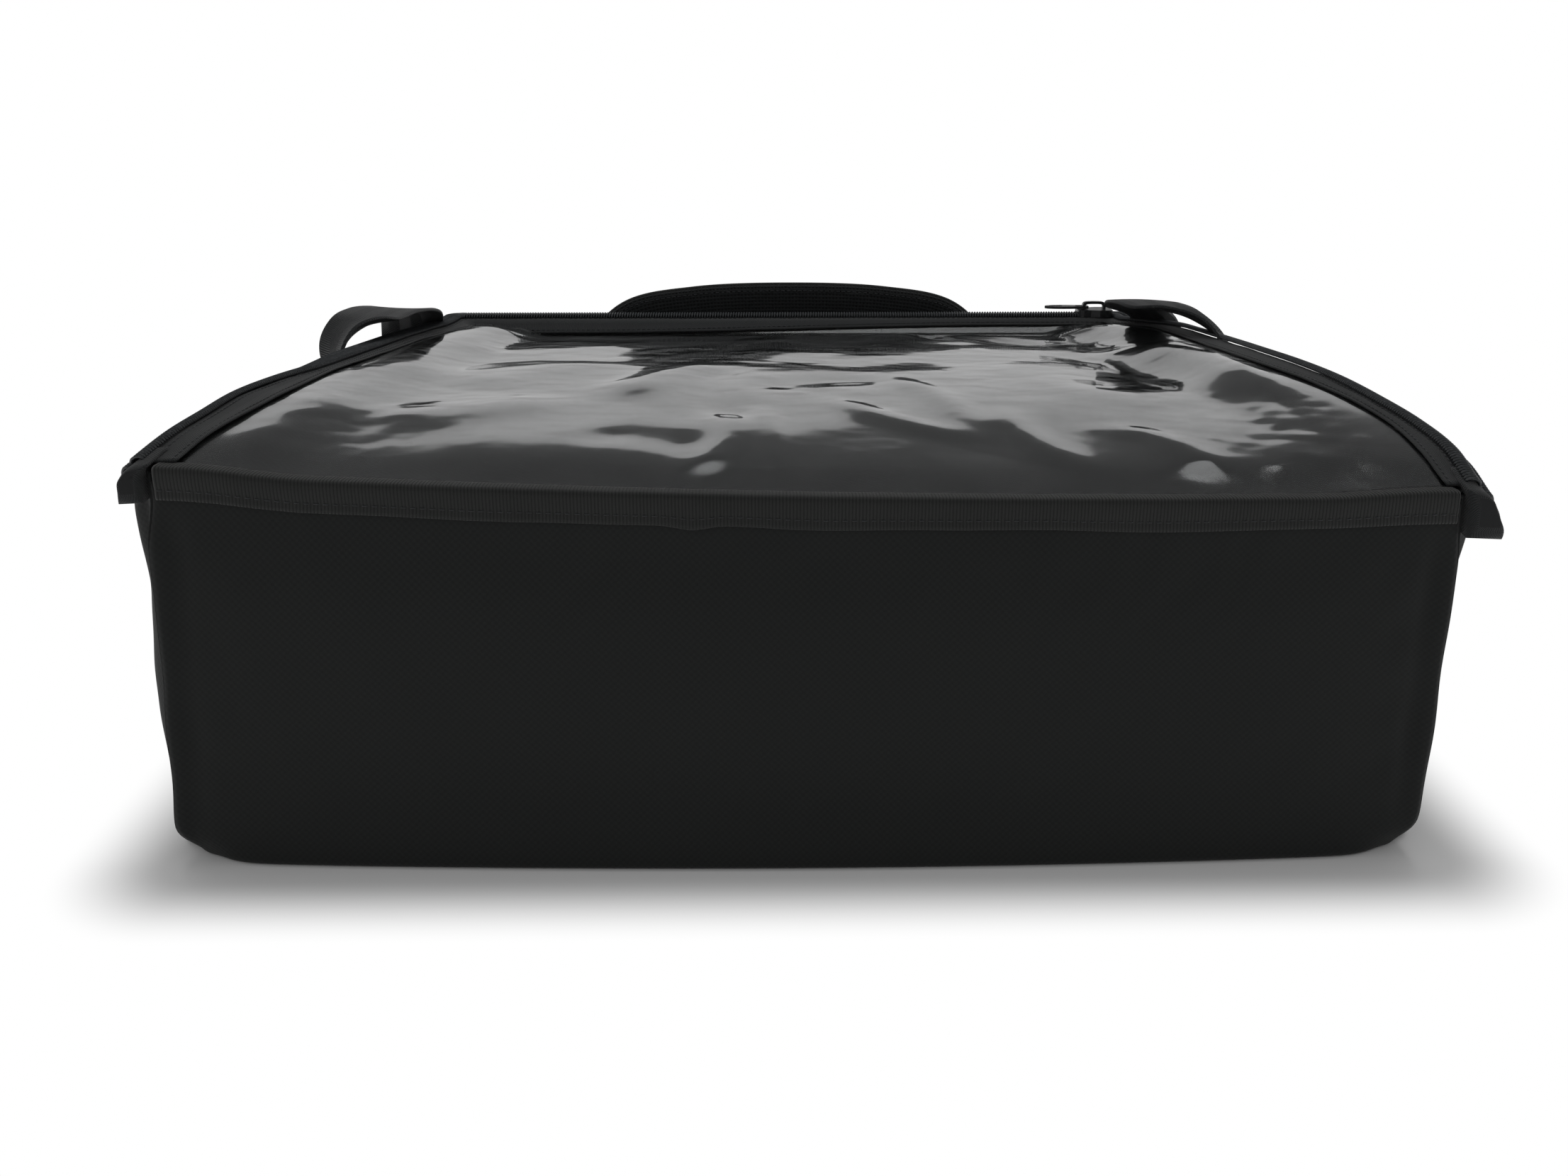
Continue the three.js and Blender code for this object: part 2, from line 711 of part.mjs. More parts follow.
// Slider, in a frame with +X to its nose and Z measured from the top of the tape.
function slider() {
  const half = sliderLength / 2;
  const outline = (grow) => {
    const [tailY, noseY] = [tailHalf + grow, noseHalf + grow];
    const shape = new THREE.Shape();
    shape.moveTo(tailTaper - half, -tailY);
    shape.lineTo(spreadStart, -tailY);
    shape.lineTo(spreadEnd, -noseY);
    shape.lineTo(half - noseTaper, -noseY);
    shape.quadraticCurveTo(half, -noseY, half, noseTaper - noseY);
    shape.lineTo(half, noseY - noseTaper);
    shape.quadraticCurveTo(half, noseY, half - noseTaper, noseY);
    shape.lineTo(spreadEnd, noseY);
    shape.lineTo(spreadStart, tailY);
    shape.lineTo(tailTaper - half, tailY);
    shape.quadraticCurveTo(-half, tailY, -half, tailY - tailTaper);
    shape.lineTo(-half, tailTaper - tailY);
    shape.quadraticCurveTo(-half, -tailY, tailTaper - half, -tailY);
    return shape;
  };
  const channel = new THREE.Shape();
  const beyond = half + cutOverrun;
  channel.moveTo(-beyond, -tailHalf);
  channel.lineTo(spreadStart, -tailHalf);
  channel.lineTo(spreadEnd, -noseHalf);
  channel.lineTo(beyond, -noseHalf);
  channel.lineTo(beyond, noseHalf);
  channel.lineTo(spreadEnd, noseHalf);
  channel.lineTo(spreadStart, tailHalf);
  channel.lineTo(-beyond, tailHalf);
  channel.closePath();
  const topUnder = rowTop + sliderRunning;
  const bottomTop = -tape - sliderTapeGap;
  const bottom = solid(extrude(outline(flangeWall), sliderPlate, bottomTop - sliderPlate));
  const block = solid(extrude(outline(flangeWall), topUnder + sliderPlate - sliderTapeGap, sliderTapeGap));
  const hollow = solid(extrude(channel, topUnder - sliderTapeGap + cutOverrun, sliderTapeGap - cutOverrun));
  const post = new THREE.Shape();
  post.moveTo(postStart, 0);
  post.quadraticCurveTo(postStart, postHalfWidth, (postStart + postEnd) / 2, postHalfWidth);
  post.quadraticCurveTo(postEnd, postHalfWidth, postEnd, 0);
  post.quadraticCurveTo(postEnd, -postHalfWidth, (postStart + postEnd) / 2, -postHalfWidth);
  post.quadraticCurveTo(postStart, -postHalfWidth, postStart, 0);
  const sunk = sliderPlate / 2;
  const postLift = bottomTop - sunk;
  const postSolid = solid(extrude(post, topUnder + sunk - postLift, postLift));
  const made = bottom.add(block.subtract(hollow)).add(postSolid).add(bridge(topUnder + sliderPlate));
  return { geometry: geometryOf(made), plateTop: topUnder + sliderPlate };
}

// The arched bridge over the slider, which the pull tab's crossbar runs under.
function bridge(plateTop) {
  const arch = (inwards, rise) => {
    const [start, end] = [bridgeStart + inwards, bridgeEnd - inwards];
    const middle = (start + end) / 2;
    const shape = new THREE.Shape();
    shape.moveTo(start, -bridgeSink);
    shape.lineTo(end, -bridgeSink);
    shape.bezierCurveTo(end, rise, end, rise, middle, rise);
    shape.bezierCurveTo(start, rise, start, rise, start, -bridgeSink);
    return shape;
  };
  const bar = extrude(arch(0, bridgeRise), 2 * bridgeHalfWidth, -bridgeHalfWidth, 6);
  const gap = extrude(
    arch(bridgeBar, bridgeRise - bridgeBar),
    2 * (bridgeHalfWidth + cutOverrun),
    -bridgeHalfWidth - cutOverrun,
    6,
  );
  for (const part of [bar, gap]) part.rotateX(quarterTurn).translate(0, 0, plateTop);
  const floor = new THREE.Shape();
  floor.moveTo(bridgeStart, -bridgeHalfWidth);
  floor.lineTo(bridgeEnd, -bridgeHalfWidth);
  floor.lineTo(bridgeEnd, bridgeHalfWidth);
  floor.lineTo(bridgeStart, bridgeHalfWidth);
  floor.closePath();
  const keep = solid(extrude(floor, bridgeSink, plateTop - bridgeSink));
  return solid(bar).subtract(solid(gap)).add(keep);
}

const crossbarX = bridgeStart + bridgeBar + pullLift + pullBar / 2;

// Pull tab, in a frame at its crossbar's axis, lying along -X.
function pullTab() {
  const barHalf = pullBar / 2;
  const eyeEnd = -barHalf - pullEyeLength;
  const tip = barHalf - pullLength;
  const shape = new THREE.Shape();
  shape.moveTo(barHalf, -pullNeckHalfWidth + pullEyeRadius);
  shape.lineTo(barHalf, pullNeckHalfWidth - pullEyeRadius);
  shape.quadraticCurveTo(barHalf, pullNeckHalfWidth, barHalf - pullEyeRadius, pullNeckHalfWidth);
  shape.lineTo(eyeEnd, pullNeckHalfWidth);
  shape.bezierCurveTo(
    eyeEnd - pullHalfWidth, pullHalfWidth, tip, pullHalfWidth * 1.1, tip, 0);
  shape.bezierCurveTo(
    tip, -pullHalfWidth * 1.1, eyeEnd - pullHalfWidth, -pullHalfWidth, eyeEnd, -pullNeckHalfWidth);
  shape.lineTo(barHalf - pullEyeRadius, -pullNeckHalfWidth);
  shape.quadraticCurveTo(barHalf, -pullNeckHalfWidth, barHalf, pullEyeRadius - pullNeckHalfWidth);
  const eye = new THREE.Path();
  eye.moveTo(-barHalf, -pullEyeHalfWidth);
  eye.lineTo(eyeEnd, -pullEyeHalfWidth);
  eye.lineTo(eyeEnd, pullEyeHalfWidth);
  eye.lineTo(-barHalf, pullEyeHalfWidth);
  eye.closePath();
  const grip = new THREE.Path();
  const gripX = tip + pullHoleMargin + pullHoleRadius;
  grip.absarc(gripX, 0, pullHoleRadius, quarterTurn, 3 * quarterTurn, false);
  grip.absarc(gripX + pullHoleSlot, 0, pullHoleRadius, -quarterTurn, quarterTurn, false);
  grip.closePath();
  shape.holes.push(eye, grip);
  return extrude(shape, pullThickness, -pullThickness / 2, 5);
}

function sliderAndPull() {
  const y = halfDepth - chainInset;
  const z = frontRim - rowTop;
  const { geometry, plateTop } = slider();
  add("slider_body", geometry, "paintedZinc").position.set(sliderCentre, y, z);
  const lift = plateTop + pullLift + pullThickness / 2;
  add("pull_tab", pullTab(), "paintedZinc").position.set(sliderCentre + crossbarX, y, z + lift);
}

// A flat patch of webbing sewn to a wall, following its bulge.
function patch(name, wall, { middle, width, foot, top, standOff, thickness }) {
  const skin = (out) =>
    evenShares(2).map((across) =>
      evenShares(4).map((up) => {
        const along = alongOf(wall, middle + width * (across - 1 / 2));
        const z = THREE.MathUtils.lerp(foot, top, up);
        const p = inset(straightStations(wall, [along])[0], -bulgeOn(wall, along, z) - out);
        return new THREE.Vector3(p.x, p.y, z);
      }),
    );
  add(name, slab(skin(standOff + thickness), skin(standOff)), "webbing");
}

// Outermost face of the two sewn tails at their top, where the free loop turns.
function seatReach(wall, places, seat, standOff) {
  return Math.max(...places.map((place) => bulgeOn(wall, alongOf(wall, place), seat))) + standOff;
}

// The free loop: webbing that rises flat against the wall, then rolls over as it reaches its crest.
function sideLoop(name, wall, span, turnDegrees) {
  const rearY = loopFrontY - span;
  const side = wall === "right" ? 1 : -1;
  const reach = seatReach(wall, [rearY, loopFrontY], loopSeatHeight, loopStandOff);
  const x = halfWidth + reach + webbing / 2;
  const foot = loopSeatHeight + fitGap;
  const crest = foot + loopRiseHeight;
  const bend = (y, forward) =>
    evenShares(6).map((share) => {
      const along = loopShoulderWidth * (1 - Math.cos(quarterTurn * share));
      const rise = loopRiseHeight * Math.sin(quarterTurn * share);
      return new THREE.Vector3(side * (x - loopLeanWidth * share), y + forward * along, foot + rise);
    });
  const points = [...bend(rearY, 1), ...bend(loopFrontY, -1).reverse()];
  const path = new THREE.CatmullRomCurve3(points, false, "centripetal");
  const inwards = new THREE.Vector3(-side, 0, 0);
  const corners = [[-1, -1], [1, -1], [1, 1], [-1, 1]];
  const sections = evenShares(loopSteps).map((share) => {
    const at = path.getPointAt(share);
    const tangent = path.getTangentAt(share).setX(0).normalize();
    if (share === 0 || share === 1) tangent.set(0, 0, 1 - 2 * share);
    const away = new THREE.Vector3(0, -tangent.z, tangent.y);
    const rolled = THREE.MathUtils.smoothstep(at.z, loopTwistHeight, crest);
    const turn = THREE.MathUtils.degToRad(turnDegrees) * rolled;
    const wide = away.multiplyScalar(Math.cos(turn)).addScaledVector(inwards, Math.sin(turn));
    const thick = new THREE.Vector3().crossVectors(tangent, wide);
    return corners.map(([a, b]) =>
      at
        .clone()
        .addScaledVector(wide, (a * loopWidth) / 2)
        .addScaledVector(thick, (b * webbing) / 2),
    );
  });
  const flat = corners.map(([a, b]) => new THREE.Vector2(a, b));
  add(name, tube(sections, flat), "webbing");
  const tail = {
    width: loopWidth,
    foot: loopTailFootHeight,
    top: loopSeatHeight,
    standOff: loopStandOff,
    thickness: webbing,
  };
  patch(`${name}_rear_tail`, wall, { ...tail, middle: rearY });
  patch(`${name}_front_tail`, wall, { ...tail, middle: loopFrontY });
}

// Padded handle: a webbing strap through a padded sleeve, arched over its two sewn ends.
function paddedHandle() {
  const half = handleSpan / 2;
  const reach = seatReach("front", [-half, half], handleSeatHeight, tailStandOff);
  const wallY = halfDepth + reach + strapThickness / 2;
  const padY = halfDepth + padStandOff + padThickness / 2;
  const foot = handleSeatHeight + fitGap;
  const shoulder = handleSeatHeight + handleShoulderHeight;
  const left = [
    [-half, wallY, foot],
    [-half, padY, foot + padEndLength],
    [handleShoulderWidth / 3 - half, padY, shoulder - handleShoulderHeight / 3],
    [handleShoulderWidth - half, padY, shoulder],
    [-half / 2, padY, handleCrestHeight - strapThickness],
    [0, padY, handleCrestHeight],
  ];
  const right = left.slice(0, -1).reverse().map(([x, y, z]) => [-x, y, z]);
  const points = [...left, ...right].map((p) => new THREE.Vector3(...p));
  const path = new THREE.CatmullRomCurve3(points, false, "centripetal");
  const sweep = (polygon, firstStep) => {
    const shares = evenShares(handleSteps).slice(firstStep, firstStep ? -firstStep : undefined);
    const sections = shares.map((share) => {
      const at = path.getPointAt(share);
      const tangent = path.getTangentAt(share).setY(0).normalize();
      if (share === 0 || share === 1) tangent.set(0, 0, 1 - 2 * share);
      const upright = new THREE.Vector3(-tangent.z, 0, tangent.x);
      const through = new THREE.Vector3().crossVectors(tangent, upright);
      return polygon.map((p) =>
        at.clone().addScaledVector(upright, p.x).addScaledVector(through, p.y),
      );
    });
    return tube(sections, polygon);
  };
  const [a, b] = [handleWidth / 2, padThickness / 2];
  const sleeve = [
    [-a + padRound, -b],
    [a - padRound, -b],
    [a, padRound - b],
    [a, b - padRound],
    [a - padRound, b],
    [-a + padRound, b],
    [-a, b - padRound],
    [-a, padRound - b],
  ].map((p) => new THREE.Vector2(...p));
  const rectangle = (width, thickness) =>
    [[-1, -1], [1, -1], [1, 1], [-1, 1]].map(
      ([across, through]) => new THREE.Vector2((across * width) / 2, (through * thickness) / 2),
    );
  add("handle_strap", sweep(rectangle(strapWidth, strapThickness), 0), "webbing");
  const slot = rectangle(strapWidth + 2 * strapSlotGap, strapThickness + 2 * strapSlotGap);
  add("handle_pad", geometryOf(solid(sweep(sleeve, 1)).subtract(solid(sweep(slot, 0)))), "mesh");
  const tail = {
    width: strapWidth,
    foot: handleTailFootHeight,
    top: handleSeatHeight,
    standOff: tailStandOff,
    thickness: strapThickness,
  };
  patch("handle_left_tail", "front", { ...tail, middle: -half });
  patch("handle_right_tail", "front", { ...tail, middle: half });
}

for (const wall of Object.keys(straight)) add(`${wall}_panel`, wallPanel(wall), "wovenPolyester");
baseAndLining();
const chain = zipStations();
zipper(chain);
lid(chain);
hingeBinding();
cornerTab("left_corner_tab", "left");
cornerTab("right_corner_tab", "right");
sliderAndPull();
sideLoop("left_loop", "left", leftLoopReach, leftLoopTurn);
sideLoop("right_loop", "right", rightLoopReach, rightLoopTurn);
paddedHandle();

export default bag;
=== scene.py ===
"""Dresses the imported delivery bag: woven walls, zip, clear lid sheet, ribbon binding, loops and padded handle.

Lengths in the classes are millimetres, and `piece` turns them to metres when it makes a mesh. X runs along the
hinge seam, Y from the hinge wall to the handle wall, Z up from the floor. A UV map holds metres along the cloth.
"""

import logging
import math
from collections.abc import Callable, Mapping, Sequence
from dataclasses import dataclass
from enum import Enum
from typing import Any, ClassVar

import bpy
import numpy as np
from mathutils import Matrix, Vector


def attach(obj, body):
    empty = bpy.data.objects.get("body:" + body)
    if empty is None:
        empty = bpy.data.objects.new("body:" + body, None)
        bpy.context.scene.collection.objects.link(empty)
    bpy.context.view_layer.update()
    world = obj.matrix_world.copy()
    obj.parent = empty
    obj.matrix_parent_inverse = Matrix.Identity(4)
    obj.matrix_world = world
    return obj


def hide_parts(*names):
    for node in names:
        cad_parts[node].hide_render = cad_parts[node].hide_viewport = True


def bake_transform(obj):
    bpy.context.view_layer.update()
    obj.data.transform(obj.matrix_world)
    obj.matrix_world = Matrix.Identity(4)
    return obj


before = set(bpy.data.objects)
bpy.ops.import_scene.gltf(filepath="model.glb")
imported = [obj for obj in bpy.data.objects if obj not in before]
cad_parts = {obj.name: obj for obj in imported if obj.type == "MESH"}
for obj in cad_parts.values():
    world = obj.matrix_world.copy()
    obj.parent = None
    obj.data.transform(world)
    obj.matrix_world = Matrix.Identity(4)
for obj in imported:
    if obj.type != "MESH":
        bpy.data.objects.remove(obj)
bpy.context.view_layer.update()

log = logging.getLogger("bag")

Array = np.ndarray
Tree = bpy.types.NodeTree
Node = bpy.types.Node
Socket = bpy.types.NodeSocket
Place = tuple[float, float, float]
MM = 0.001


# Numbers and curves


def ease(at: Array, start: float, end: float) -> Array:
    """Rises smoothly from 0 at start to 1 at end: 3t^2 - 2t^3 of the clamped share t."""
    t = np.clip((np.asarray(at, float) - start) / (end - start), 0, 1)
    return t * t * (3 - 2 * t)


def hump(at: Array, middle: float, width: float) -> Array:
    """A bell of height 1 at middle: e to the minus square of the distance over width."""
    return np.exp(-(((np.asarray(at, float) - middle) / width) ** 2))


def hermite(t: Array, step: Array, ends: tuple[Array, Array], slopes: tuple[Array, Array]) -> Array:
    """Cubic Hermite curve: a smooth step 3t^2 - 2t^3 from end to end, plus each slope's own cubic.

    Args:
        t: share of the way between the ends.
        step: distance between them.
        ends: their values.
        slopes: the slopes there.

    Returns:
        The curve's value at each share.
    """
    rise = t * t * (3 - 2 * t)
    bends = step * ((t**3 - 2 * t * t + t) * slopes[0] + (t**3 - t * t) * slopes[1])
    return ends[0] * (1 - rise) + ends[1] * rise + bends


def through(at: Array, places: Sequence[float], values: Sequence[float]) -> Array:
    """Smooth curve through given values: cubic Hermite pieces with central slopes, level at both ends.

    Args:
        at: where to read the curve.
        places: rising positions of the given values.
        values: the given values.

    Returns:
        The curve's value at each position.
    """
    x, y = np.asarray(places, float), np.asarray(values, float)
    slope = np.gradient(y, x)
    slope[[0, -1]] = 0
    i = np.clip(np.searchsorted(x, at) - 1, 0, len(x) - 2)
    step = x[i + 1] - x[i]
    t = np.clip((at - x[i]) / step, 0, 1)
    return hermite(t, step, (y[i], y[i + 1]), (slope[i], slope[i + 1]))


def ripple(u: Array, v: Array, size: float, seed: int, waves: int = 9) -> Array:
    """Soft random relief of about -1 to 1: a sum of plane waves with seeded headings and lengths near size.

    Args:
        u: first coordinate, in mm.
        v: second coordinate, in mm.
        size: the usual length of a wave, in mm.
        seed: picks the headings, lengths and phases.
        waves: how many waves are summed.

    Returns:
        The relief at each place.
    """
    shortest, longest = 0.65, 1.6
    rng = np.random.default_rng(seed)
    heading, phase = rng.uniform(0, math.tau, (2, waves))
    turns = math.tau / (size * rng.uniform(shortest, longest, waves))
    u, v = np.broadcast_arrays(np.asarray(u, float), np.asarray(v, float))
    along = u[..., None] * np.cos(heading) + v[..., None] * np.sin(heading)
    return np.cos(along * turns + phase).sum(-1) / math.sqrt(waves * 2)


def unit(vectors: Array) -> Array:
    """Each vector divided by its length."""
    return vectors / np.maximum(np.linalg.norm(vectors, axis=-1, keepdims=True), 1e-12)


def evenly(path: Array, count: int) -> Array:
    """The same path with points spaced evenly by arc length."""
    run = np.concatenate([[0], np.cumsum(np.linalg.norm(np.diff(path, axis=0), axis=1))])
    at = np.linspace(0, run[-1], count)
    return np.stack([np.interp(at, run, path[:, k]) for k in range(path.shape[1])], axis=1)


def headings(path: Array, still: int) -> Array:
    """Unit steps along a path, kept out of one axis: straight up at its start and straight down at its end."""
    step = np.gradient(path, axis=0)
    step[:, still] = 0
    step = unit(step)
    step[0], step[-1] = (0, 0, 1), (0, 0, -1)
    return step


def threaded(points: Array, count: int) -> Array:
    """Smooth path through a few points: Hermite pieces whose slopes join each point's neighbours.

    The knots are apart by the root of the points' distance, which keeps a short piece between long ones calm.

    Args:
        points: the points, one row each.
        count: how many evenly spaced points come back.

    Returns:
        Points along the path.
    """
    dense = 6
    points = np.asarray(points, float)
    knots = np.concatenate([[0], np.cumsum(np.linalg.norm(np.diff(points, axis=0), axis=1) ** 0.5)])
    slope = np.gradient(points, knots, axis=0)
    at = np.linspace(0, knots[-1], count * dense)
    i = np.clip(np.searchsorted(knots, at) - 1, 0, len(knots) - 2)
    step = (knots[i + 1] - knots[i])[:, None]
    t = ((at - knots[i]) / step[:, 0])[:, None]
    return evenly(hermite(t, step, (points[i], points[i + 1]), (slope[i], slope[i + 1])), count)


# Meshes


@dataclass
class Patch:
    """Part of a mesh: points in mm, groups of faces as rows of point numbers, and corners' UV in metres."""

    points: Array
    faces: list[Array]
    uv: list[Array]

    def volume(self) -> float:
        """Signed volume, a sixth of the triple products of the faces' fans: positive if faces point out."""
        total = 0.0
        for group in self.faces:
            a = self.points[group[:, 0]]
            for k in range(1, group.shape[1] - 1):
                b, c = self.points[group[:, k]], self.points[group[:, k + 1]]
                total += float((a * np.cross(b, c)).sum())
        return total / 6

    def turned(self) -> "Patch":
        """The same patch with its faces pointing the other way."""
        return Patch(self.points, [f[:, ::-1] for f in self.faces], [u[:, ::-1] for u in self.uv])

    def outwards(self) -> "Patch":
        """The same closed patch with its faces pointing out."""
        return self if self.volume() > 0 else self.turned()


def joined(patches: Sequence[Patch]) -> Patch:
    """Several patches as one, each with its point numbers moved past those before it."""
    starts = np.cumsum([0] + [len(p.points) for p in patches])
    faces = [f + start for p, start in zip(patches, starts) for f in p.faces]
    return Patch(np.concatenate([p.points for p in patches]), faces, [u for p in patches for u in p.uv])


def lofted(grid: Array, ring: bool = False, uv: Array | None = None) -> Patch:
    """Surface through rows of points: a quad joins points (i, j), (i+1, j), (i+1, j+1) and (i, j+1).

    Args:
        grid: points of rows and columns, in mm.
        ring: True if the last row joins the first.
        uv: metres along the cloth at each point, with one more row if ring. Left out, it is the mean run of
            the rows and of the columns.

    Returns:
        The surface.
    """
    rows, columns = grid.shape[:2]
    wrapped = np.concatenate([grid, grid[:1]]) if ring else grid
    if uv is None:
        across = np.linalg.norm(np.diff(wrapped, axis=0), axis=2).mean(1)
        along = np.linalg.norm(np.diff(wrapped, axis=1), axis=2).mean(0)
        run = [np.concatenate([[0], np.cumsum(steps)]) * MM for steps in (across, along)]
        uv = np.stack(np.meshgrid(*run, indexing="ij"), -1)
    i, j = (k.ravel() for k in np.meshgrid(np.arange(len(wrapped) - 1), np.arange(columns - 1), indexing="ij"))
    corners = [(i, j), (i + 1, j), (i + 1, j + 1), (i, j + 1)]
    faces = np.stack([(a % rows) * columns + b for a, b in corners], axis=1)
    return Patch(grid.reshape(-1, 3), [faces], [np.stack([uv[a, b] for a, b in corners], axis=1)])


def lidded(grid: Array) -> Patch:
    """Ring-shaped surface whose last column closes on one middle point, as the floor of a tub does."""
    patch = lofted(grid, ring=True)
    rows, columns = grid.shape[:2]
    middle = grid[:, -1].mean(0)
    last = np.arange(rows) * columns + columns - 1
    fan = np.stack([last, np.roll(last, -1), np.full(rows, rows * columns)], axis=1)
    points = np.concatenate([patch.points, middle[None]])
    return Patch(points, [*patch.faces, fan], [*patch.uv, points[fan][..., :2] * MM])


def tube(sections: Array) -> Patch:
    """Closed tube through sections of the same number of points, with a fan of faces over each end.

    Args:
        sections: points of sections and corners round them, in mm.

    Returns:
        The tube, its faces outwards. Its UV runs round the section first, then along the tube.
    """
    count, sides = sections.shape[:2]
    patch = lofted(np.swapaxes(sections, 0, 1), ring=True)
    k = np.arange(sides)
    fans, points = [], [patch.points]
    for end in (0, count - 1):
        middle = np.full(sides, sides * count + len(fans))
        fan = np.stack([k * count + end, (k + 1) % sides * count + end, middle], axis=1)
        fans.append(fan if end else fan[:, ::-1])
        points.append(sections[end].mean(0)[None])
    all_points = np.concatenate(points)
    flat = [np.zeros((*fan.shape, 2)) for fan in fans]
    return Patch(all_points, [*patch.faces, *fans], [*patch.uv, *flat]).outwards()


def round_section(width: float, thickness: float, corner: float, steps: int = 3, along: int = 1) -> Array:
    """Points round a rectangle with quarter-circle corners, as (across, through) in mm.

    Args:
        width: across the section.
        thickness: through it.
        corner: radius of its corners.
        steps: pieces of each quarter circle.
        along: pieces of each long side.

    Returns:
        The section's corners, in order.
    """
    a, b = width / 2 - corner, thickness / 2 - corner
    angle = np.linspace(0, math.pi / 2, steps + 1)
    first, second, third, last = (
        np.stack([x + corner * np.cos(angle + k * math.pi / 2), y + corner * np.sin(angle + k * math.pi / 2)], 1)
        for k, (x, y) in enumerate([(a, b), (-a, b), (-a, -b), (a, -b)])
    )
    upper = np.linspace(first[-1], second[0], along + 1)[1:-1]
    return np.concatenate([first, upper, second, third, -upper, last])


def swept(path: Array, section: Array, across: Array, through_way: Array) -> Patch:
    """Closed tube of a section along a path: each corner is the path plus two distances along two directions.

    Args:
        path: points, in mm.
        section: corners as (across, through), in mm, for the whole path or for each point of it.
        across: direction of a corner's first distance at each point.
        through_way: direction of its second distance at each point.

    Returns:
        The tube.
    """
    section = np.broadcast_to(section, (len(path), *section.shape[-2:]))
    wide, thick = section[..., :1] * across[:, None], section[..., 1:] * through_way[:, None]
    return tube(path[:, None] + wide + thick)


def repeated(shape: Patch, frames: Array, places: Array) -> Patch:
    """Copies of one small shape: each point is turned by a copy's frame and moved to its place.

    Args:
        shape: the small shape, round its own origin.
        frames: three directions for each copy, as rows.
        places: where each copy's origin goes, in mm.

    Returns:
        All copies as one patch.
    """
    points = np.einsum("pk,nkc->npc", shape.points, frames) + places[:, None]
    moved = np.arange(len(places))[:, None, None] * len(shape.points)
    faces = [(f[None] + moved).reshape(-1, f.shape[1]) for f in shape.faces]
    uv = [np.tile(u, (len(places), 1, 1)) for u in shape.uv]
    return Patch(points.reshape(-1, 3), faces, uv)


@dataclass(frozen=True)
class Stitch:
    """A sewn stitch, in mm: from one to the next, how much thread shows, and the thread's radius."""

    pitch: float
    length: float
    radius: float


TAPE_STITCH = Stitch(3.2, 2.5, 0.24)
BINDING_STITCH = Stitch(3.3, 2.4, 0.26)
LOOP_STITCH = Stitch(3.2, 2.5, 0.3)
STRAP_STITCH = Stitch(3.0, 2.3, 0.28)
SLEEVE_STITCH = Stitch(3.6, 2.7, 0.28)


def stitch_row(path: Array, up: Array, stitch: Stitch) -> Patch:
    """A row of sewn stitches: short threads on a path, whose ends dip into the cloth.

    Over the share s of half its length, a thread's middle line falls with s^4, its radius with s^6.

    Args:
        path: dense points on the cloth, in mm.
        up: the cloth's outward direction, for the whole path or for each point of it.
        stitch: the stitch's sizes.

    Returns:
        The stitches.
    """
    middle_height, dip, taper, sides = 0.55, 1.5, 0.6, 5
    share = np.linspace(-1, 1, 6)
    height = stitch.radius * (middle_height - dip * share**4)
    spine = np.stack([share * stitch.length / 2, 0 * share, height], 1)
    turn = np.arange(sides) * math.tau / sides
    size = stitch.radius * (1 - taper * share**6)
    round_it = np.stack([0 * turn, np.cos(turn), np.sin(turn)], 1)
    thread = tube(spine[:, None] + size[:, None, None] * round_it[None])
    count = max(int(np.linalg.norm(np.diff(path, axis=0), axis=1).sum() / stitch.pitch), 2)
    both = evenly(np.concatenate([path, np.broadcast_to(up, path.shape)], axis=1), count * 2 + 1)
    places, normal = both[1::2, :3], unit(both[1::2, 3:])
    along = unit(both[2::2, :3] - both[:-2:2, :3])
    side = unit(np.cross(normal, along))
    return repeated(thread, np.stack([along, side, np.cross(along, side)], axis=1), places)


def askew(points: Array) -> Array:
    """The standing bag's points, its foot set out sideways: most at the floor, none from a height up."""
    left_out, right_out, upright, still, outline = 8.5, 2.5, 140, 40, 228
    low = np.clip(1 - points[:, 2] / upright, 0, 1)
    right = right_out * ease(points[:, 0], still, outline)
    shift = right - left_out * ease(-points[:, 0], still, outline)
    return points + np.stack([shift * low, 0 * low, 0 * low], axis=1)


def boxed(half: float, low: float, high: float, count: int) -> Array:
    """A box of stitches with its two diagonals, as points (across, height) in mm along the needle's way."""
    corners = [
        (-half, low), (half, low), (half, high), (-half, high), (-half, low), (half, high), (half, low),
        (-half, high),
    ]
    return np.concatenate([np.linspace(a, b, count)[:-1] for a, b in zip(corners, corners[1:])])


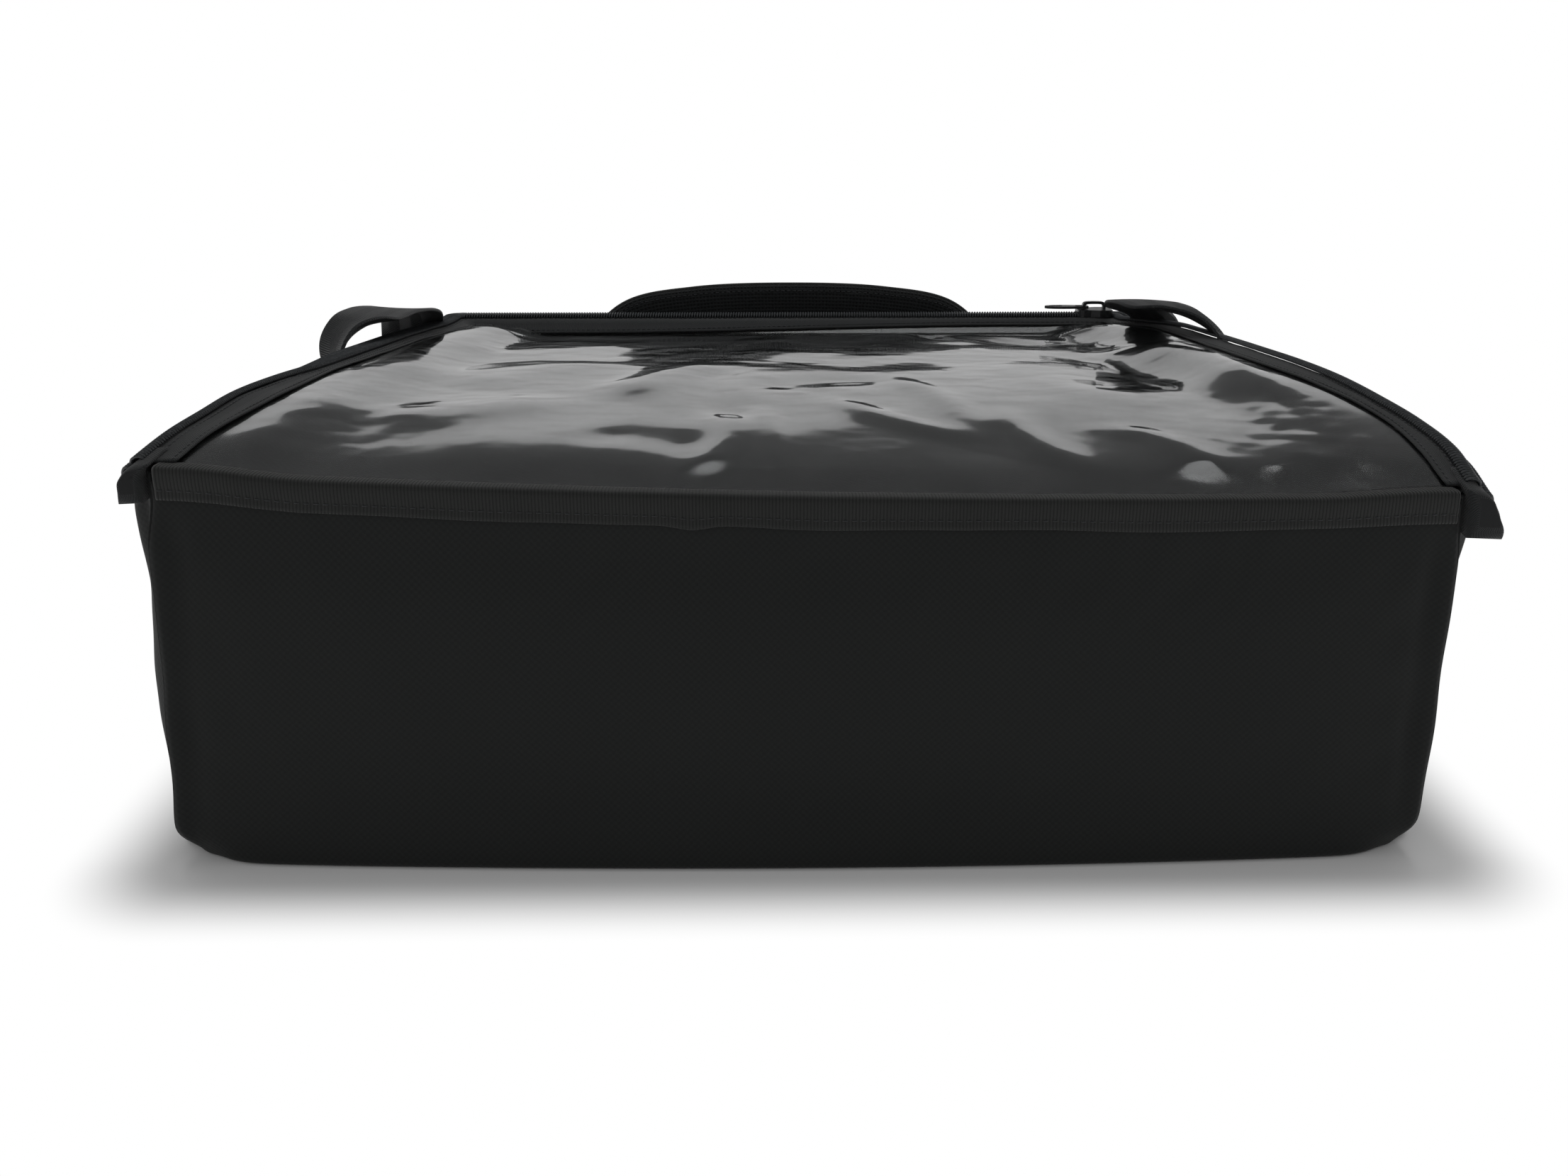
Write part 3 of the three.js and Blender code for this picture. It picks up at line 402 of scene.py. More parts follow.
def piece(
    name: str,
    patch: Patch,
    finish: "Finish",
    body: str,
    replaces: Sequence[str] = (),
    thickness: float = 0.0,
    across: tuple[str, Vector, Vector] | None = None,
) -> bpy.types.Object:
    """Makes one piece of the bag, dresses it and, unless it crosses a joint, ties it to the body that it rides
    on.

    Args:
        name: the piece's name.
        patch: its surface.
        finish: what it is made of.
        body: the body that it rides on.
        replaces: the solids that it stands for.
        thickness: of the cloth, in mm, laid inwards from the surface. A closed patch needs none.
        across: given where the piece crosses a joint, it leaves the piece in place and tied to no body; the
            second body and the two points in it are not used.

    Returns:
        The object.
    """
    mesh = bpy.data.meshes.new(name)
    points = askew(patch.points) if body == "bag" else patch.points
    mesh.from_pydata(points * MM, [], [row for group in patch.faces for row in group.tolist()])
    layer = mesh.uv_layers.new(name="Cloth")
    layer.uv.foreach_set(
        "vector", np.concatenate([u.reshape(-1, 2) for u in patch.uv]).astype(np.float32).ravel()
    )
    mesh.polygons.foreach_set("use_smooth", np.ones(len(mesh.polygons), bool))
    mesh.materials.append(finish.material())
    mesh.update()
    made = bpy.data.objects.new(name, mesh)
    bpy.context.scene.collection.objects.link(made)
    if thickness:
        shell = made.modifiers.new("Cloth thickness", "SOLIDIFY")
        shell.thickness, shell.offset = thickness * MM, -1
    if across:
        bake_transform(made)
    else:
        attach(made, body)
    if replaces:
        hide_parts(*replaces)
    log.info("%s: %d faces on %s", name, len(mesh.polygons), body)
    return made


# Finishes


def linear(colour: str) -> tuple[float, float, float, float]:
    """An sRGB hex colour such as "1b1c1b" as linear red, green, blue and alpha."""
    parts = [int(colour[k : k + 2], 16) / 255 for k in (0, 2, 4)]
    return (*(p / 12.92 if p <= 0.04045 else ((p + 0.055) / 1.055) ** 2.4 for p in parts), 1.0)


def node(
    tree: Tree,
    kind: str,
    inputs: Mapping[str | int, Any] | None = None,
    **settings: Any,
) -> Node:
    """Adds a node with its settings, and links or sets its inputs.

    Args:
        tree: where the node goes.
        kind: the node's type, without the words ShaderNode.
        inputs: a node or a socket to link, or a value to set, for each input by name or number.
        settings: the node's own properties.

    Returns:
        The node.
    """
    made = tree.nodes.new(f"ShaderNode{kind}")
    for key, value in settings.items():
        setattr(made, key, value)
    for key, value in (inputs or {}).items():
        if isinstance(value, Node):
            value = value.outputs[0]
        if isinstance(value, Socket):
            tree.links.new(value, made.inputs[key])
        else:
            made.inputs[key].default_value = value
    return made


@dataclass(frozen=True)
class Finish:
    """What a piece is made of. `name` is the material's name."""

    name: str

    def material(self) -> bpy.types.Material:
        """The finish as a material, made once."""
        found = bpy.data.materials.get(self.name)
        if found:
            return found
        made = bpy.data.materials.new(self.name)
        made.use_nodes = True
        made.node_tree.nodes.clear()
        tree = made.node_tree
        spot = node(tree, "TexCoord").outputs["Object"]
        shader = node(tree, "BsdfPrincipled", self.shade(tree, spot))
        node(tree, "OutputMaterial", {"Surface": shader})
        return made

    def shade(self, tree: Tree, spot: Socket) -> dict[str, Any]:
        """The shader's inputs, from the finish's own nodes, which read Object coordinates at the spot."""
        raise NotImplementedError


class Weave(Enum):
    """How a cloth's threads cross."""

    PLAIN = "one over, one under"
    RIB = "fine ribs across a ribbon"
    HERRINGBONE = "zigzag ribs along a tape"
    CHEVRON = "thick ribs of webbing"
    MESH = "round holes of spacer mesh"


@dataclass(frozen=True)
class Cloth(Finish):
    """A woven or knitted cloth of dyed polyester or nylon: matt, with a faint sheen and a relief of threads.

    The threads are read from the UV map in metres, so they follow the cloth. The broad mottle of handled cloth
    is read from Object coordinates.
    """

    weave: Weave = Weave.PLAIN
    # The colours of the threads' crests and of their hollows: the cloth is one dye, and the step between them is
    # painted light and shade.
    high: str = "232423"
    low: str = "141514"
    pitch: float = 0.9
    relief: float = 0.1
    roughness: float = 0.8
    sheen: float = 0.15
    mottle: float = 0.25
    specular: float = 0.28
    # How many threads a zigzag weave's ribs cross before they turn back.
    ZIGZAGS: ClassVar[dict[Weave, int]] = {Weave.HERRINGBONE: 9, Weave.CHEVRON: 4}

    def threads(self, tree: Tree) -> Node:
        """Height of the weave from 0 to 1: sines of the UV run over the pitch, crossed as the weave says.

        Args:
            tree: where its nodes go.

        Returns:
            The node whose first output is the height.
        """
        place = node(tree, "TexCoord").outputs["UV"]
        per_metre = 1 / (self.pitch * MM)
        if self.weave is Weave.MESH:
            grid = {"Vector": place, "Scale": per_metre, "Randomness": 0.12}
            holes = node(tree, "TexVoronoi", grid, voronoi_dimensions="2D")
            rims = {"Value": holes.outputs["Distance"], "From Min": 0.15, "From Max": 0.5}
            return node(tree, "MapRange", rims)
        parts = node(tree, "SeparateXYZ", {0: place})
        u, v = (
            node(tree, "Math", {0: parts.outputs[axis], 1: math.pi * per_metre}, operation="MULTIPLY")
            for axis in (0, 1)
        )
        if self.weave is Weave.PLAIN:
            over, under = (node(tree, "Math", {0: run}, operation="SINE") for run in (u, v))
            crossing = node(tree, "Math", {0: over, 1: under}, operation="MULTIPLY")
            halved = node(tree, "Math", {0: crossing, 1: 0.5}, operation="MULTIPLY")
            return node(tree, "Math", {0: halved, 1: 0.5}, operation="ADD")
        slanted = v
        if self.weave in self.ZIGZAGS:
            straight, turning = (u, v) if self.weave is Weave.HERRINGBONE else (v, u)
            run = {0: turning, 1: math.pi * self.ZIGZAGS[self.weave]}
            zigzag = node(tree, "Math", run, operation="PINGPONG")
            slanted = node(tree, "Math", {0: straight, 1: zigzag}, operation="ADD")
        wave = node(tree, "Math", {0: slanted}, operation="SINE")
        return node(tree, "Math", {0: wave}, operation="ABSOLUTE")

    def shade(self, tree: Tree, spot: Socket) -> dict[str, Any]:
        """Threads set the relief and the step between the two colours, which is painted light on their crests and
        painted shade in their hollows; a broad noise mottles both.
        """
        height = self.threads(tree)
        broad = node(tree, "TexNoise", {"Vector": spot, "Scale": 1 / (45 * MM), "Detail": 5.0, "Roughness": 0.6})
        fuzz = node(tree, "TexNoise", {"Vector": spot, "Scale": 1 / (1.3 * MM), "Detail": 2.0})
        worn = node(
            tree, "MapRange",
            {"Value": broad, "From Min": 0.3, "From Max": 0.7, "To Min": 1 - self.mottle, "To Max": 1.0},
        )
        # Painted light and shade: the high colour goes on the threads' crests and the low one in their hollows,
        # less so where the broad mottle is low.
        blend = node(tree, "Math", {0: height, 1: worn}, operation="MULTIPLY")
        tinted = node(
            tree, "Mix", {"Factor": blend, "A": linear(self.low), "B": linear(self.high)}, data_type="RGBA"
        )
        lint = node(tree, "Math", {0: fuzz, 1: 0.35}, operation="MULTIPLY")
        surface = node(tree, "Math", {0: height, 1: lint}, operation="ADD")
        bump = node(tree, "Bump", {"Height": surface, "Distance": self.relief * MM, "Strength": 1.0})
        return {
            "Base Color": tinted.outputs["Result"],
            "Roughness": self.roughness,
            "Normal": bump,
            "Sheen Weight": self.sheen,
            "Sheen Roughness": 0.5,
            "Specular IOR Level": self.specular,
        }


@dataclass(frozen=True)
class ClearVinyl(Finish):
    """Pressed clear PVC sheet: see-through, glossy, with rolling marks and dust that soften the gloss."""

    roughness: float = 0.035
    ior: float = 1.54

    def shade(self, tree: Tree, spot: Socket) -> dict[str, Any]:
        """A clear sheet whose roughness rises in broad dull patches, with a fine bump of rolling marks."""
        dust = node(tree, "TexNoise", {"Vector": spot, "Scale": 1 / (30 * MM), "Detail": 6.0, "Roughness": 0.65})
        dull = node(
            tree, "MapRange",
            {
                "Value": dust, "From Min": 0.35, "From Max": 0.75, "To Min": self.roughness,
                "To Max": self.roughness + 0.07,
            },
        )
        marks = node(tree, "TexNoise", {"Vector": spot, "Scale": 1 / (16 * MM), "Detail": 1.0})
        bump = node(tree, "Bump", {"Height": marks, "Distance": 0.12 * MM, "Strength": 1.0})
        clear = {"IOR": self.ior, "Transmission Weight": 1.0}
        return {"Base Color": linear("f4f6f7"), "Roughness": dull, "Normal": bump, **clear}


@dataclass(frozen=True)
class Moulded(Finish):
    """Drawn or moulded nylon: smooth and satin, with light wear on what stands proud."""

    colour: str = "2b2c2d"
    worn: str = "3a3b3c"
    roughness: float = 0.4
    grain: float = 1.2
    relief: float = 0.03

    def shade(self, tree: Tree, spot: Socket) -> dict[str, Any]:
        """A fine noise of the grain's size rubs the colour and the gloss."""
        fine = node(tree, "TexNoise", {"Vector": spot, "Scale": 1 / (self.grain * MM), "Detail": 3.0})
        rubbed = node(tree, "MapRange", {"Value": fine, "From Min": 0.45, "From Max": 0.75})
        tinted = node(
            tree, "Mix", {"Factor": rubbed, "A": linear(self.colour), "B": linear(self.worn)}, data_type="RGBA"
        )
        gloss = node(
            tree, "MapRange", {"Value": fine, "To Min": self.roughness - 0.1, "To Max": self.roughness + 0.1}
        )
        bump = node(tree, "Bump", {"Height": fine, "Distance": self.relief * MM, "Strength": 1.0})
        return {"Base Color": tinted.outputs["Result"], "Roughness": gloss, "Normal": bump}


@dataclass(frozen=True)
class FoilFilm(Finish):
    """Aluminised film laminated to cloth: bright, crinkled in small facets."""

    crinkle: float = 9.0

    def shade(self, tree: Tree, spot: Socket) -> dict[str, Any]:
        """Cells of the crinkle's size tilt the film, and a broad noise dulls it."""
        facets = node(tree, "TexVoronoi", {"Vector": spot, "Scale": 1 / (self.crinkle * MM)}, feature="SMOOTH_F1")
        dull = node(tree, "TexNoise", {"Vector": spot, "Scale": 1 / (22 * MM), "Detail": 4.0})
        gloss = node(tree, "MapRange", {"Value": dull, "To Min": 0.22, "To Max": 0.45})
        bump = node(tree, "Bump", {"Height": facets.outputs["Distance"], "Distance": 1.2 * MM, "Strength": 0.7})
        return {"Base Color": linear("d5d8da"), "Roughness": gloss, "Metallic": 1.0, "Normal": bump}


@dataclass(frozen=True)
class FoamSheet(Finish):
    """Closed-cell polyethylene foam: white, matt, with small burst cells."""

    cell: float = 2.4

    def shade(self, tree: Tree, spot: Socket) -> dict[str, Any]:
        """Cells of the foam's size set the relief and a faint painted shade in their hollows."""
        cells = node(tree, "TexVoronoi", {"Vector": spot, "Scale": 1 / (self.cell * MM)})
        # Painted shade: the colour darkens towards the cells' edges, which the inverted bump makes hollows.
        tinted = node(
            tree, "Mix", {"Factor": cells.outputs["Distance"], "A": linear("eceae4"), "B": linear("cfcdc6")},
            data_type="RGBA",
        )
        bump = node(
            tree, "Bump", {"Height": cells.outputs["Distance"], "Distance": 0.3 * MM, "Strength": 0.8},
            invert=True,
        )
        return {"Base Color": tinted.outputs["Result"], "Roughness": 0.85, "Normal": bump}


# Polyester oxford cloth, a plain weave: matt, with a faint grain. Its threads are 0.5 mm apart, drawn 1.3 mm
# apart so that they show.
OXFORD = Cloth(
    "Polyester oxford, woven", Weave.PLAIN, "1d1f1e", "151616", pitch=1.3, relief=0.06, roughness=0.8, sheen=0.05
)
# Polyester grosgrain ribbon: greyer than the cloth, with ribs across its length that catch the light, partly
# through their relief and partly as painted light on their crests. They are about 1 mm apart, drawn 1.2 mm apart
# so that they show.
GROSGRAIN = Cloth(
    "Polyester grosgrain, ribbed", Weave.RIB, "292a29", "131413", pitch=1.2, relief=0.28, roughness=0.72,
    sheen=0.12,
)
# Polyester zip tape: a little paler, with a zigzag of fine slanted ribs, 0.8 mm apart, drawn 1.1 mm apart so
# that they show.
ZIP_TAPE = Cloth(
    "Zip tape, herringbone woven", Weave.HERRINGBONE, "282a2b", "151617", pitch=1.1, relief=0.16, roughness=0.75
)
# Polypropylene webbing: glossier than the cloth, in thick slanted ribs that glint along their crests, from their
# gloss and from painted light on the crests.
WEBBING = Cloth(
    "Polypropylene webbing, woven", Weave.CHEVRON, "242628", "0f1011", pitch=1.7, relief=0.3, roughness=0.5,
    sheen=0.05, specular=0.5,
)
# Polyester spacer mesh over foam: soft and deep black, with rows of small holes 2.2 mm apart, darkened by painted
# shade.
SPACER_MESH = Cloth(
    "Polyester spacer mesh, knitted", Weave.MESH, "1d1f20", "0b0c0c", pitch=2.2, relief=0.5, roughness=0.85,
    sheen=0.1,
)
# Bonded nylon sewing thread: paler and a little glossier than the cloth, so that stitches read as dashes.
THREAD = Cloth("Nylon thread, twisted", Weave.RIB, "313335", "1c1d1e", pitch=0.5, relief=0.05, roughness=0.55)
# Clear PVC sheet: mirrors the studio over the dark cloth under it, and dulls where it has been handled.
VINYL = ClearVinyl("Clear PVC sheet, pressed")
# Drawn nylon coil: satin grey threads, with a soft line of light on each turn.
COIL = Moulded("Nylon coil, drawn", "303234", "47494b", roughness=0.38)
# Die-cast zinc under black lacquer: near black and smooth, with small sharp highlights and a little wear.
ZINC = Moulded("Zinc, black lacquered", "0e0f10", "1d1f21", roughness=0.32, grain=3.0, relief=0.02)
# Aluminised film: bright and crinkled, so that it breaks what it mirrors into facets.
FOIL = FoilFilm("Aluminised film, crinkled")
# Closed-cell polyethylene foam: white and matt, with a skin of small burst cells.
FOAM = FoamSheet("Polyethylene foam, closed cell")


# The bag's plan


class Wall(Enum):
    """The four walls, by how many quarter turns their outward direction is from +X."""

    RIGHT = 0
    FRONT = 1
    LEFT = 2
    REAR = 3


@dataclass
class Run:
    """Places along a wall's outline: foot, outward direction, share of its straight run, distance along it."""

    foot: Array
    normal: Array
    share: Array
    reach: Array

    def point(self, inside: Array, height: Array) -> Array:
        """Points at a distance inside the outline and a height, in mm, with the places as rows."""
        inside, height = np.broadcast_arrays(np.asarray(inside, float), np.asarray(height, float))
        shape = inside.shape
        foot = self.foot.reshape(-1, *([1] * (len(shape) - 1)), 2)
        normal = self.normal.reshape(-1, *([1] * (len(shape) - 1)), 2)
        flat = foot - normal * inside[..., None]
        return np.concatenate([flat, height[..., None]], -1)

    @property
    def x(self) -> Array:
        """X of the foot points, as a column."""
        return self.foot[:, :1]

    @property
    def y(self) -> Array:
        """Y of the foot points, as a column."""
        return self.foot[:, 1:]

    def outward(self) -> Array:
        """The outward directions with no rise, as x, y and z."""
        return np.concatenate([self.normal, 0 * self.normal[:, :1]], axis=1)


@dataclass(frozen=True)
class Turned:
    """How the zip is turned outward along one side, in mm, from the hinge wall to the handle wall.

    `turn` is the share of the full turn, `lift` how far the zip is raised, `apex` and `edge` the distances
    inside the outline of the bend's start and of the tape's inner edge.
    """

    places: tuple[float, ...]
    turn: tuple[float, ...]
    lift: tuple[float, ...]
    apex: tuple[float, ...]
    edge: tuple[float, ...]

    def at(self, y: Array, values: tuple[float, ...]) -> Array:
        """One row of values read at places along the side."""
        return through(np.asarray(y, float), self.places, values)


# Makes v(1 - v)^2 reach 1 at its crest, a third of the way along.
ARCH_SCALE = 27 / 4
AROUND = (Wall.RIGHT, Wall.FRONT, Wall.LEFT, Wall.REAR)
ZIPPED = (Wall.RIGHT, Wall.FRONT, Wall.LEFT)


@dataclass
class Plan:
    """The bag's outline from above, the height of its zipped rim, how the zip lies and how the walls belly out.

    Over the last `level` mm of the depth the rim stays as high as at the handle wall. Distances inside the
    outline are `dip_start`, `tape_reach` (the lid tape's inner edge), `chain_inset` (between the rows of coil)
    and `apex_run` (where a turned tape starts to bend). `toe` and `tuck` round and draw in the walls' feet.
    """

    width: float = 457
    depth: float = 457
    rear_corner: float = 5
    front_corner: float = 18
    foot_radius: float = 6
    rear_left_rim: float = 154
    rear_right_rim: float = 144
    front_rim: float = 146
    rear_dip: float = 4
    left_arch: float = 8
    right_arch: float = 13
    level: float = 34
    lid_dip: float = 7
    dip_run: float = 200
    dip_start: float = 21.4
    tape_reach: float = 31.5
    sag: float = 8
    chain_inset: float = 12
    zip_end: float = 5.2
    row_top: float = 3
    # By wall, in the order of its values: right, front, left, rear.
    belly: tuple[float, ...] = (6, 4, 13, 3)
    slack: tuple[float, ...] = (13, 0, 15, 0)
    settles: tuple[float, ...] = (2, 2, 2, 8.5)
    settle_height: float = 26
    settle_power: float = 0.7
    toe: float = 3.5
    tuck: float = 5.5
    tuck_run: float = 16
    tuck_height: float = 9
    hinge_drop: float = 6.3
    rolled: float = 1.3
    over_tape: float = 0.35
    turned_back: float = 0.5
    straight_end: tuple[float, float] = (1, 15)
    sides_meet: float = 150
    carried: tuple[float, float] = (3, 46)
    swell_end: float = 10
    fold_end: float = 6
    drawn_over: tuple[float, float] = (42, 1)
    apex_run: float = 18.5
    arc_run: float = 13.5
    full_turn: float = 95.0
    left: Turned = Turned(
        places=(-228, -200, -170, -140, -100, -60, -20, 20, 100, 140, 170, 205),
        turn=(1, 1, 1, 1, 0.75, 0.3, 0.05, 0, 0, 0, 0, 0),
        lift=(2.6, 4, 4, 4, 3.2, 2.3, 2, 2, 2, 1.5, 0.8, 0),
        apex=(0.5, 2.2, 3.6, 4.0, 7.5, 12.6, 14.1, 15.1, 15.9, 17.3, 19, 18.5),
        edge=(9.5, 11.4, 13.9, 16.5, 17.8, 17.6, 19.7, 21.1, 22.5, 25.5, 28.5, 31.4),
    )
    right: Turned = Turned(
        places=(-228, -200, -170, -140, -100, -60, -20, 20, 60, 100, 140, 170, 205),
        turn=(1, 1, 1, 1, 1, 1, 1, 1, 1, 1, 0.9, 0.4, 0),
        lift=(2, 4, 4, 4, 4, 4, 4, 4, 4, 4, 3.5, 2, 0),
        apex=(-0.7, -3, -3, -1.3, 0, 1.8, 2.9, 1.9, 0.2, -1, 0, 8, 18.5),
        edge=(6.1, 5, 3.5, 5.3, 9.6, 14.1, 15.9, 15.5, 14, 12.5, 12.5, 17, 26),
    )

    @property
    def half(self) -> float:
        """Half the bag's width and depth, which are equal."""
        return self.width / 2

    def rim(self, x: Array, y: Array) -> Array:
        """Height of the zipped rim: straight between corners, less a dip along the hinge, plus the sides' arch.

        Args:
            x: place along the hinge seam, in mm.
            y: place from the middle towards the handle, in mm.

        Returns:
            Height over the floor, in mm.
        """
        u = np.clip((np.asarray(x, float) + self.half) / self.width, 0, 1)
        v = np.clip((np.asarray(y, float) + self.half) / (self.depth - self.level), 0, 1)
        rear = self.rear_left_rim + (self.rear_right_rim - self.rear_left_rim) * u
        arch = (self.left_arch + (self.right_arch - self.left_arch) * u) * ARCH_SCALE * v * (1 - v) ** 2
        return rear * (1 - v) + self.front_rim * v - self.rear_dip * np.sin(math.pi * u) * (1 - v) + arch

    def fade(self, y: Array) -> Array:
        """How far the lid has sunk below the rim at a depth: none at the hinge, all after the dip's run."""
        return ease(y, -self.half, self.dip_run - self.half)

    def dip(self, inside: Array) -> Array:
        """Share of the lid's dip at a distance inside the outline."""
        return np.clip((inside - self.dip_start) / (self.tape_reach - self.dip_start), 0, 1)

    def turned(self, x: Array, y: Array, row: str) -> Array:
        """One row of the sides' values at a place, the left's and the right's, blended in the middle."""
        x, y = np.broadcast_arrays(np.asarray(x, float), np.asarray(y, float))
        left, right = (side.at(y, getattr(side, row)) for side in (self.left, self.right))
        share = ease(x, -self.sides_meet, self.sides_meet)
        return left * (1 - share) + right * share

    def over(self, run: Run, across: Array, height: Array) -> tuple[Array, Array]:
        """Where the tapes lie, by their run from the outline and a height over them.

        The tapes are level as far as an apex, then bend over an arc and hang straight. A run s along an arc
        of curvature k goes sin(ks)/k outwards and (1 - cos(ks))/k down. With no turn they are level.

        Args:
            run: places along the outline.
            across: run across the tapes from the wall's seam, in mm.
            height: over the tape, square to it, in mm.

        Returns:
            Distance inside the outline and height over the floor, in mm.
        """
        x, y = run.x, run.y
        turn, lift, apex = (self.turned(x, y, row) for row in ("turn", "lift", "apex"))
        bend = np.radians(self.full_turn) * turn
        past = self.apex_run - across
        arc = np.clip(past, 0, self.arc_run)
        beyond = past - arc
        angle = bend * arc / self.arc_run
        out = arc * np.sinc(angle / math.pi) + np.where(beyond > 0, beyond * np.cos(bend), beyond)
        down = arc * angle / 2 * np.sinc(angle / math.tau) ** 2 + np.where(beyond > 0, beyond * np.sin(bend), 0)
        level = apex - out
        front = self.half - y
        sunk = self.lid_dip * self.fade(y) * self.dip(level) * ease(-front, -self.tape_reach, -self.dip_start)
        base = self.rim(x, y) - self.row_top + lift - down - sunk
        return level - height * np.sin(angle), base + height * np.cos(angle)

    def side_top(self, wall: Wall, run: Run) -> tuple[Array, Array]:
        """Distance inside the outline and height of a wall's top edge, where it meets the zip's tape."""
        height = self.wall_top(wall, run.foot)[:, None]
        if wall is Wall.REAR:
            return 0 * height, height
        turn = self.turned(run.x, run.y, "turn")
        inside, z = self.over(run, -self.turned_back * turn, -self.rolled + (self.rolled + self.over_tape) * turn)
        held = self.turns(run)
        return inside * held, z * held + (height - self.rolled) * (1 - held)

    def turns(self, run: Run) -> Array:
        """Share to which the zip's turn holds: none at the hinge wall's edge, then all."""
        return ease(run.y + self.half, *self.straight_end)

    def corner_of(self, wall: Wall, end: bool) -> tuple[Array, float]:
        """Centre and radius of the corner at a wall's start or end, going round anticlockwise."""
        turns = (wall.value + (1 if end else 0)) % 4
        sx, sy = [(1, -1), (1, 1), (-1, 1), (-1, -1)][turns]
        radius = self.front_corner if sy > 0 else self.rear_corner
        return np.array([sx * (self.half - radius), sy * (self.half - radius)]), radius

    def length(self, wall: Wall) -> Place:
        """Lengths of a wall's first half corner, its straight run and its second half corner, in mm."""
        (a, ra), (b, rb) = self.corner_of(wall, False), self.corner_of(wall, True)
        return ra * math.pi / 4, float(np.abs(b - a).max()), rb * math.pi / 4

    def along(self, wall: Wall, reach: Array) -> Run:
        """Places on one wall's outline, by distance from the middle of its first corner.

        The outline is an eighth of a circle, a straight run and another eighth. The direction turns evenly on
        the circles, and a foot is the circle's centre plus its radius that way.

        Args:
            wall: which wall.
            reach: distances along the outline, in mm.

        Returns:
            The places.
        """
        (a, ra), (b, rb) = self.corner_of(wall, False), self.corner_of(wall, True)
        first, _, last = self.length(wall)
        ahead = wall.value * math.pi / 2
        normal = np.array([math.cos(ahead), math.sin(ahead)])
        tangent = np.array([-normal[1], normal[0]])
        run = float((b + rb * normal - a - ra * normal) @ tangent)
        start, end = np.clip(reach / first - 1, -1, 0), np.clip((reach - first - run) / last, 0, 1)
        angle = ahead + (start + end) * math.pi / 4
        normals = np.stack([np.cos(angle), np.sin(angle)], axis=1)
        share = np.clip((reach - first) / run, 0, 1)
        flat = a + ra * normal + np.clip(reach - first, 0, run)[:, None] * tangent
        flat = np.where((reach > first + run)[:, None], b + rb * normals, flat)
        foot = np.where((reach < first)[:, None], a + ra * normals, flat)
        return Run(foot, normals, share, reach)

    def reach_of(self, wall: Wall, place: Array) -> Array:
        """Distance along a wall's outline of an X (hinge and handle walls) or a Y (side walls), in mm."""
        (a, ra), (b, _) = self.corner_of(wall, False), self.corner_of(wall, True)
        axis = 0 if wall.value % 2 else 1
        sign = np.sign(b[axis] - a[axis])
        return ra * math.pi / 4 + (np.asarray(place, float) - a[axis]) * sign

    def wall_top(self, wall: Wall, foot: Array) -> Array:
        """Height of a wall's top edge, just under the zip tape or the hinge seam, in mm."""
        return self.rim(foot[:, 0], foot[:, 1]) - (self.hinge_drop if wall is Wall.REAR else self.row_top)

    def bulge(self, wall: Wall, share: Array, height_share: Array) -> Array:
        """How far a wall bellies out: most at mid-height and mid-run, none at its seams."""
        rise = through(height_share, [0, 0.12, 0.3, 0.5, 0.7, 0.84, 1], [0, 0.35, 0.85, 1, 0.75, 0.2, 0])
        run = through(
            share, [0, 0.06, 0.2, 0.35, 0.5, 0.65, 0.8, 0.94, 1], [0, 0.45, 0.85, 0.97, 1, 0.97, 0.85, 0.45, 0]
        )
        return self.belly[wall.value] * rise * run

    def bellied(self, wall: Wall, places: Sequence[float], height: float) -> float:
        """Farthest distance of a wall's belly from the bag's middle at given places and one height, in mm."""
        run = self.along(wall, self.reach_of(wall, np.array(places)))
        share = (height - self.foot_radius) / (self.wall_top(wall, run.foot) - self.foot_radius)
        return self.half + float(self.bulge(wall, run.share, share).max())

    def fold(self, wall: Wall, share: Array, height_share: Array) -> Array:
        """How far a side wall's slack stands out in a fold beside the hinge wall, over its belly, in mm."""
        from_rear = self.length(wall)[1] * (share if wall is Wall.RIGHT else 1 - share)
        stands = through(height_share, [0, 0.12, 0.3, 0.5, 0.7, 0.84, 1], [0.45, 0.85, 1, 1, 0.97, 0.9, 0.8])
        return self.slack[wall.value] * stands * through(from_rear, [0, 7, 16, 34, 62], [0, 0.72, 1, 0.6, 0])

    def settled(self, wall: Wall, run: Run, z: Array) -> Array:
        """How far a wall's foot has settled outwards, in mm: most in mid-run, gone some way up."""
        along = np.sin(math.pi * run.share[:, None]) ** self.settle_power
        return self.settles[wall.value] * along * hump(z, 0, self.settle_height)

    def raised(self, x: Array, y: Array) -> Array:
        """How far the lid's edge is carried up with the zip, in mm: all beside the tape, fading inwards."""
        side, front = self.half - np.abs(x), self.half - y
        held = 1 - ease(side - self.turned(x, y, "edge"), *self.carried)
        clear = ease(front, self.dip_start, self.tape_reach)
        level = self.lid_dip * self.fade(y) * self.dip(np.minimum(side, front)) * clear
        return held * (self.turned(x, y, "lift") + level)

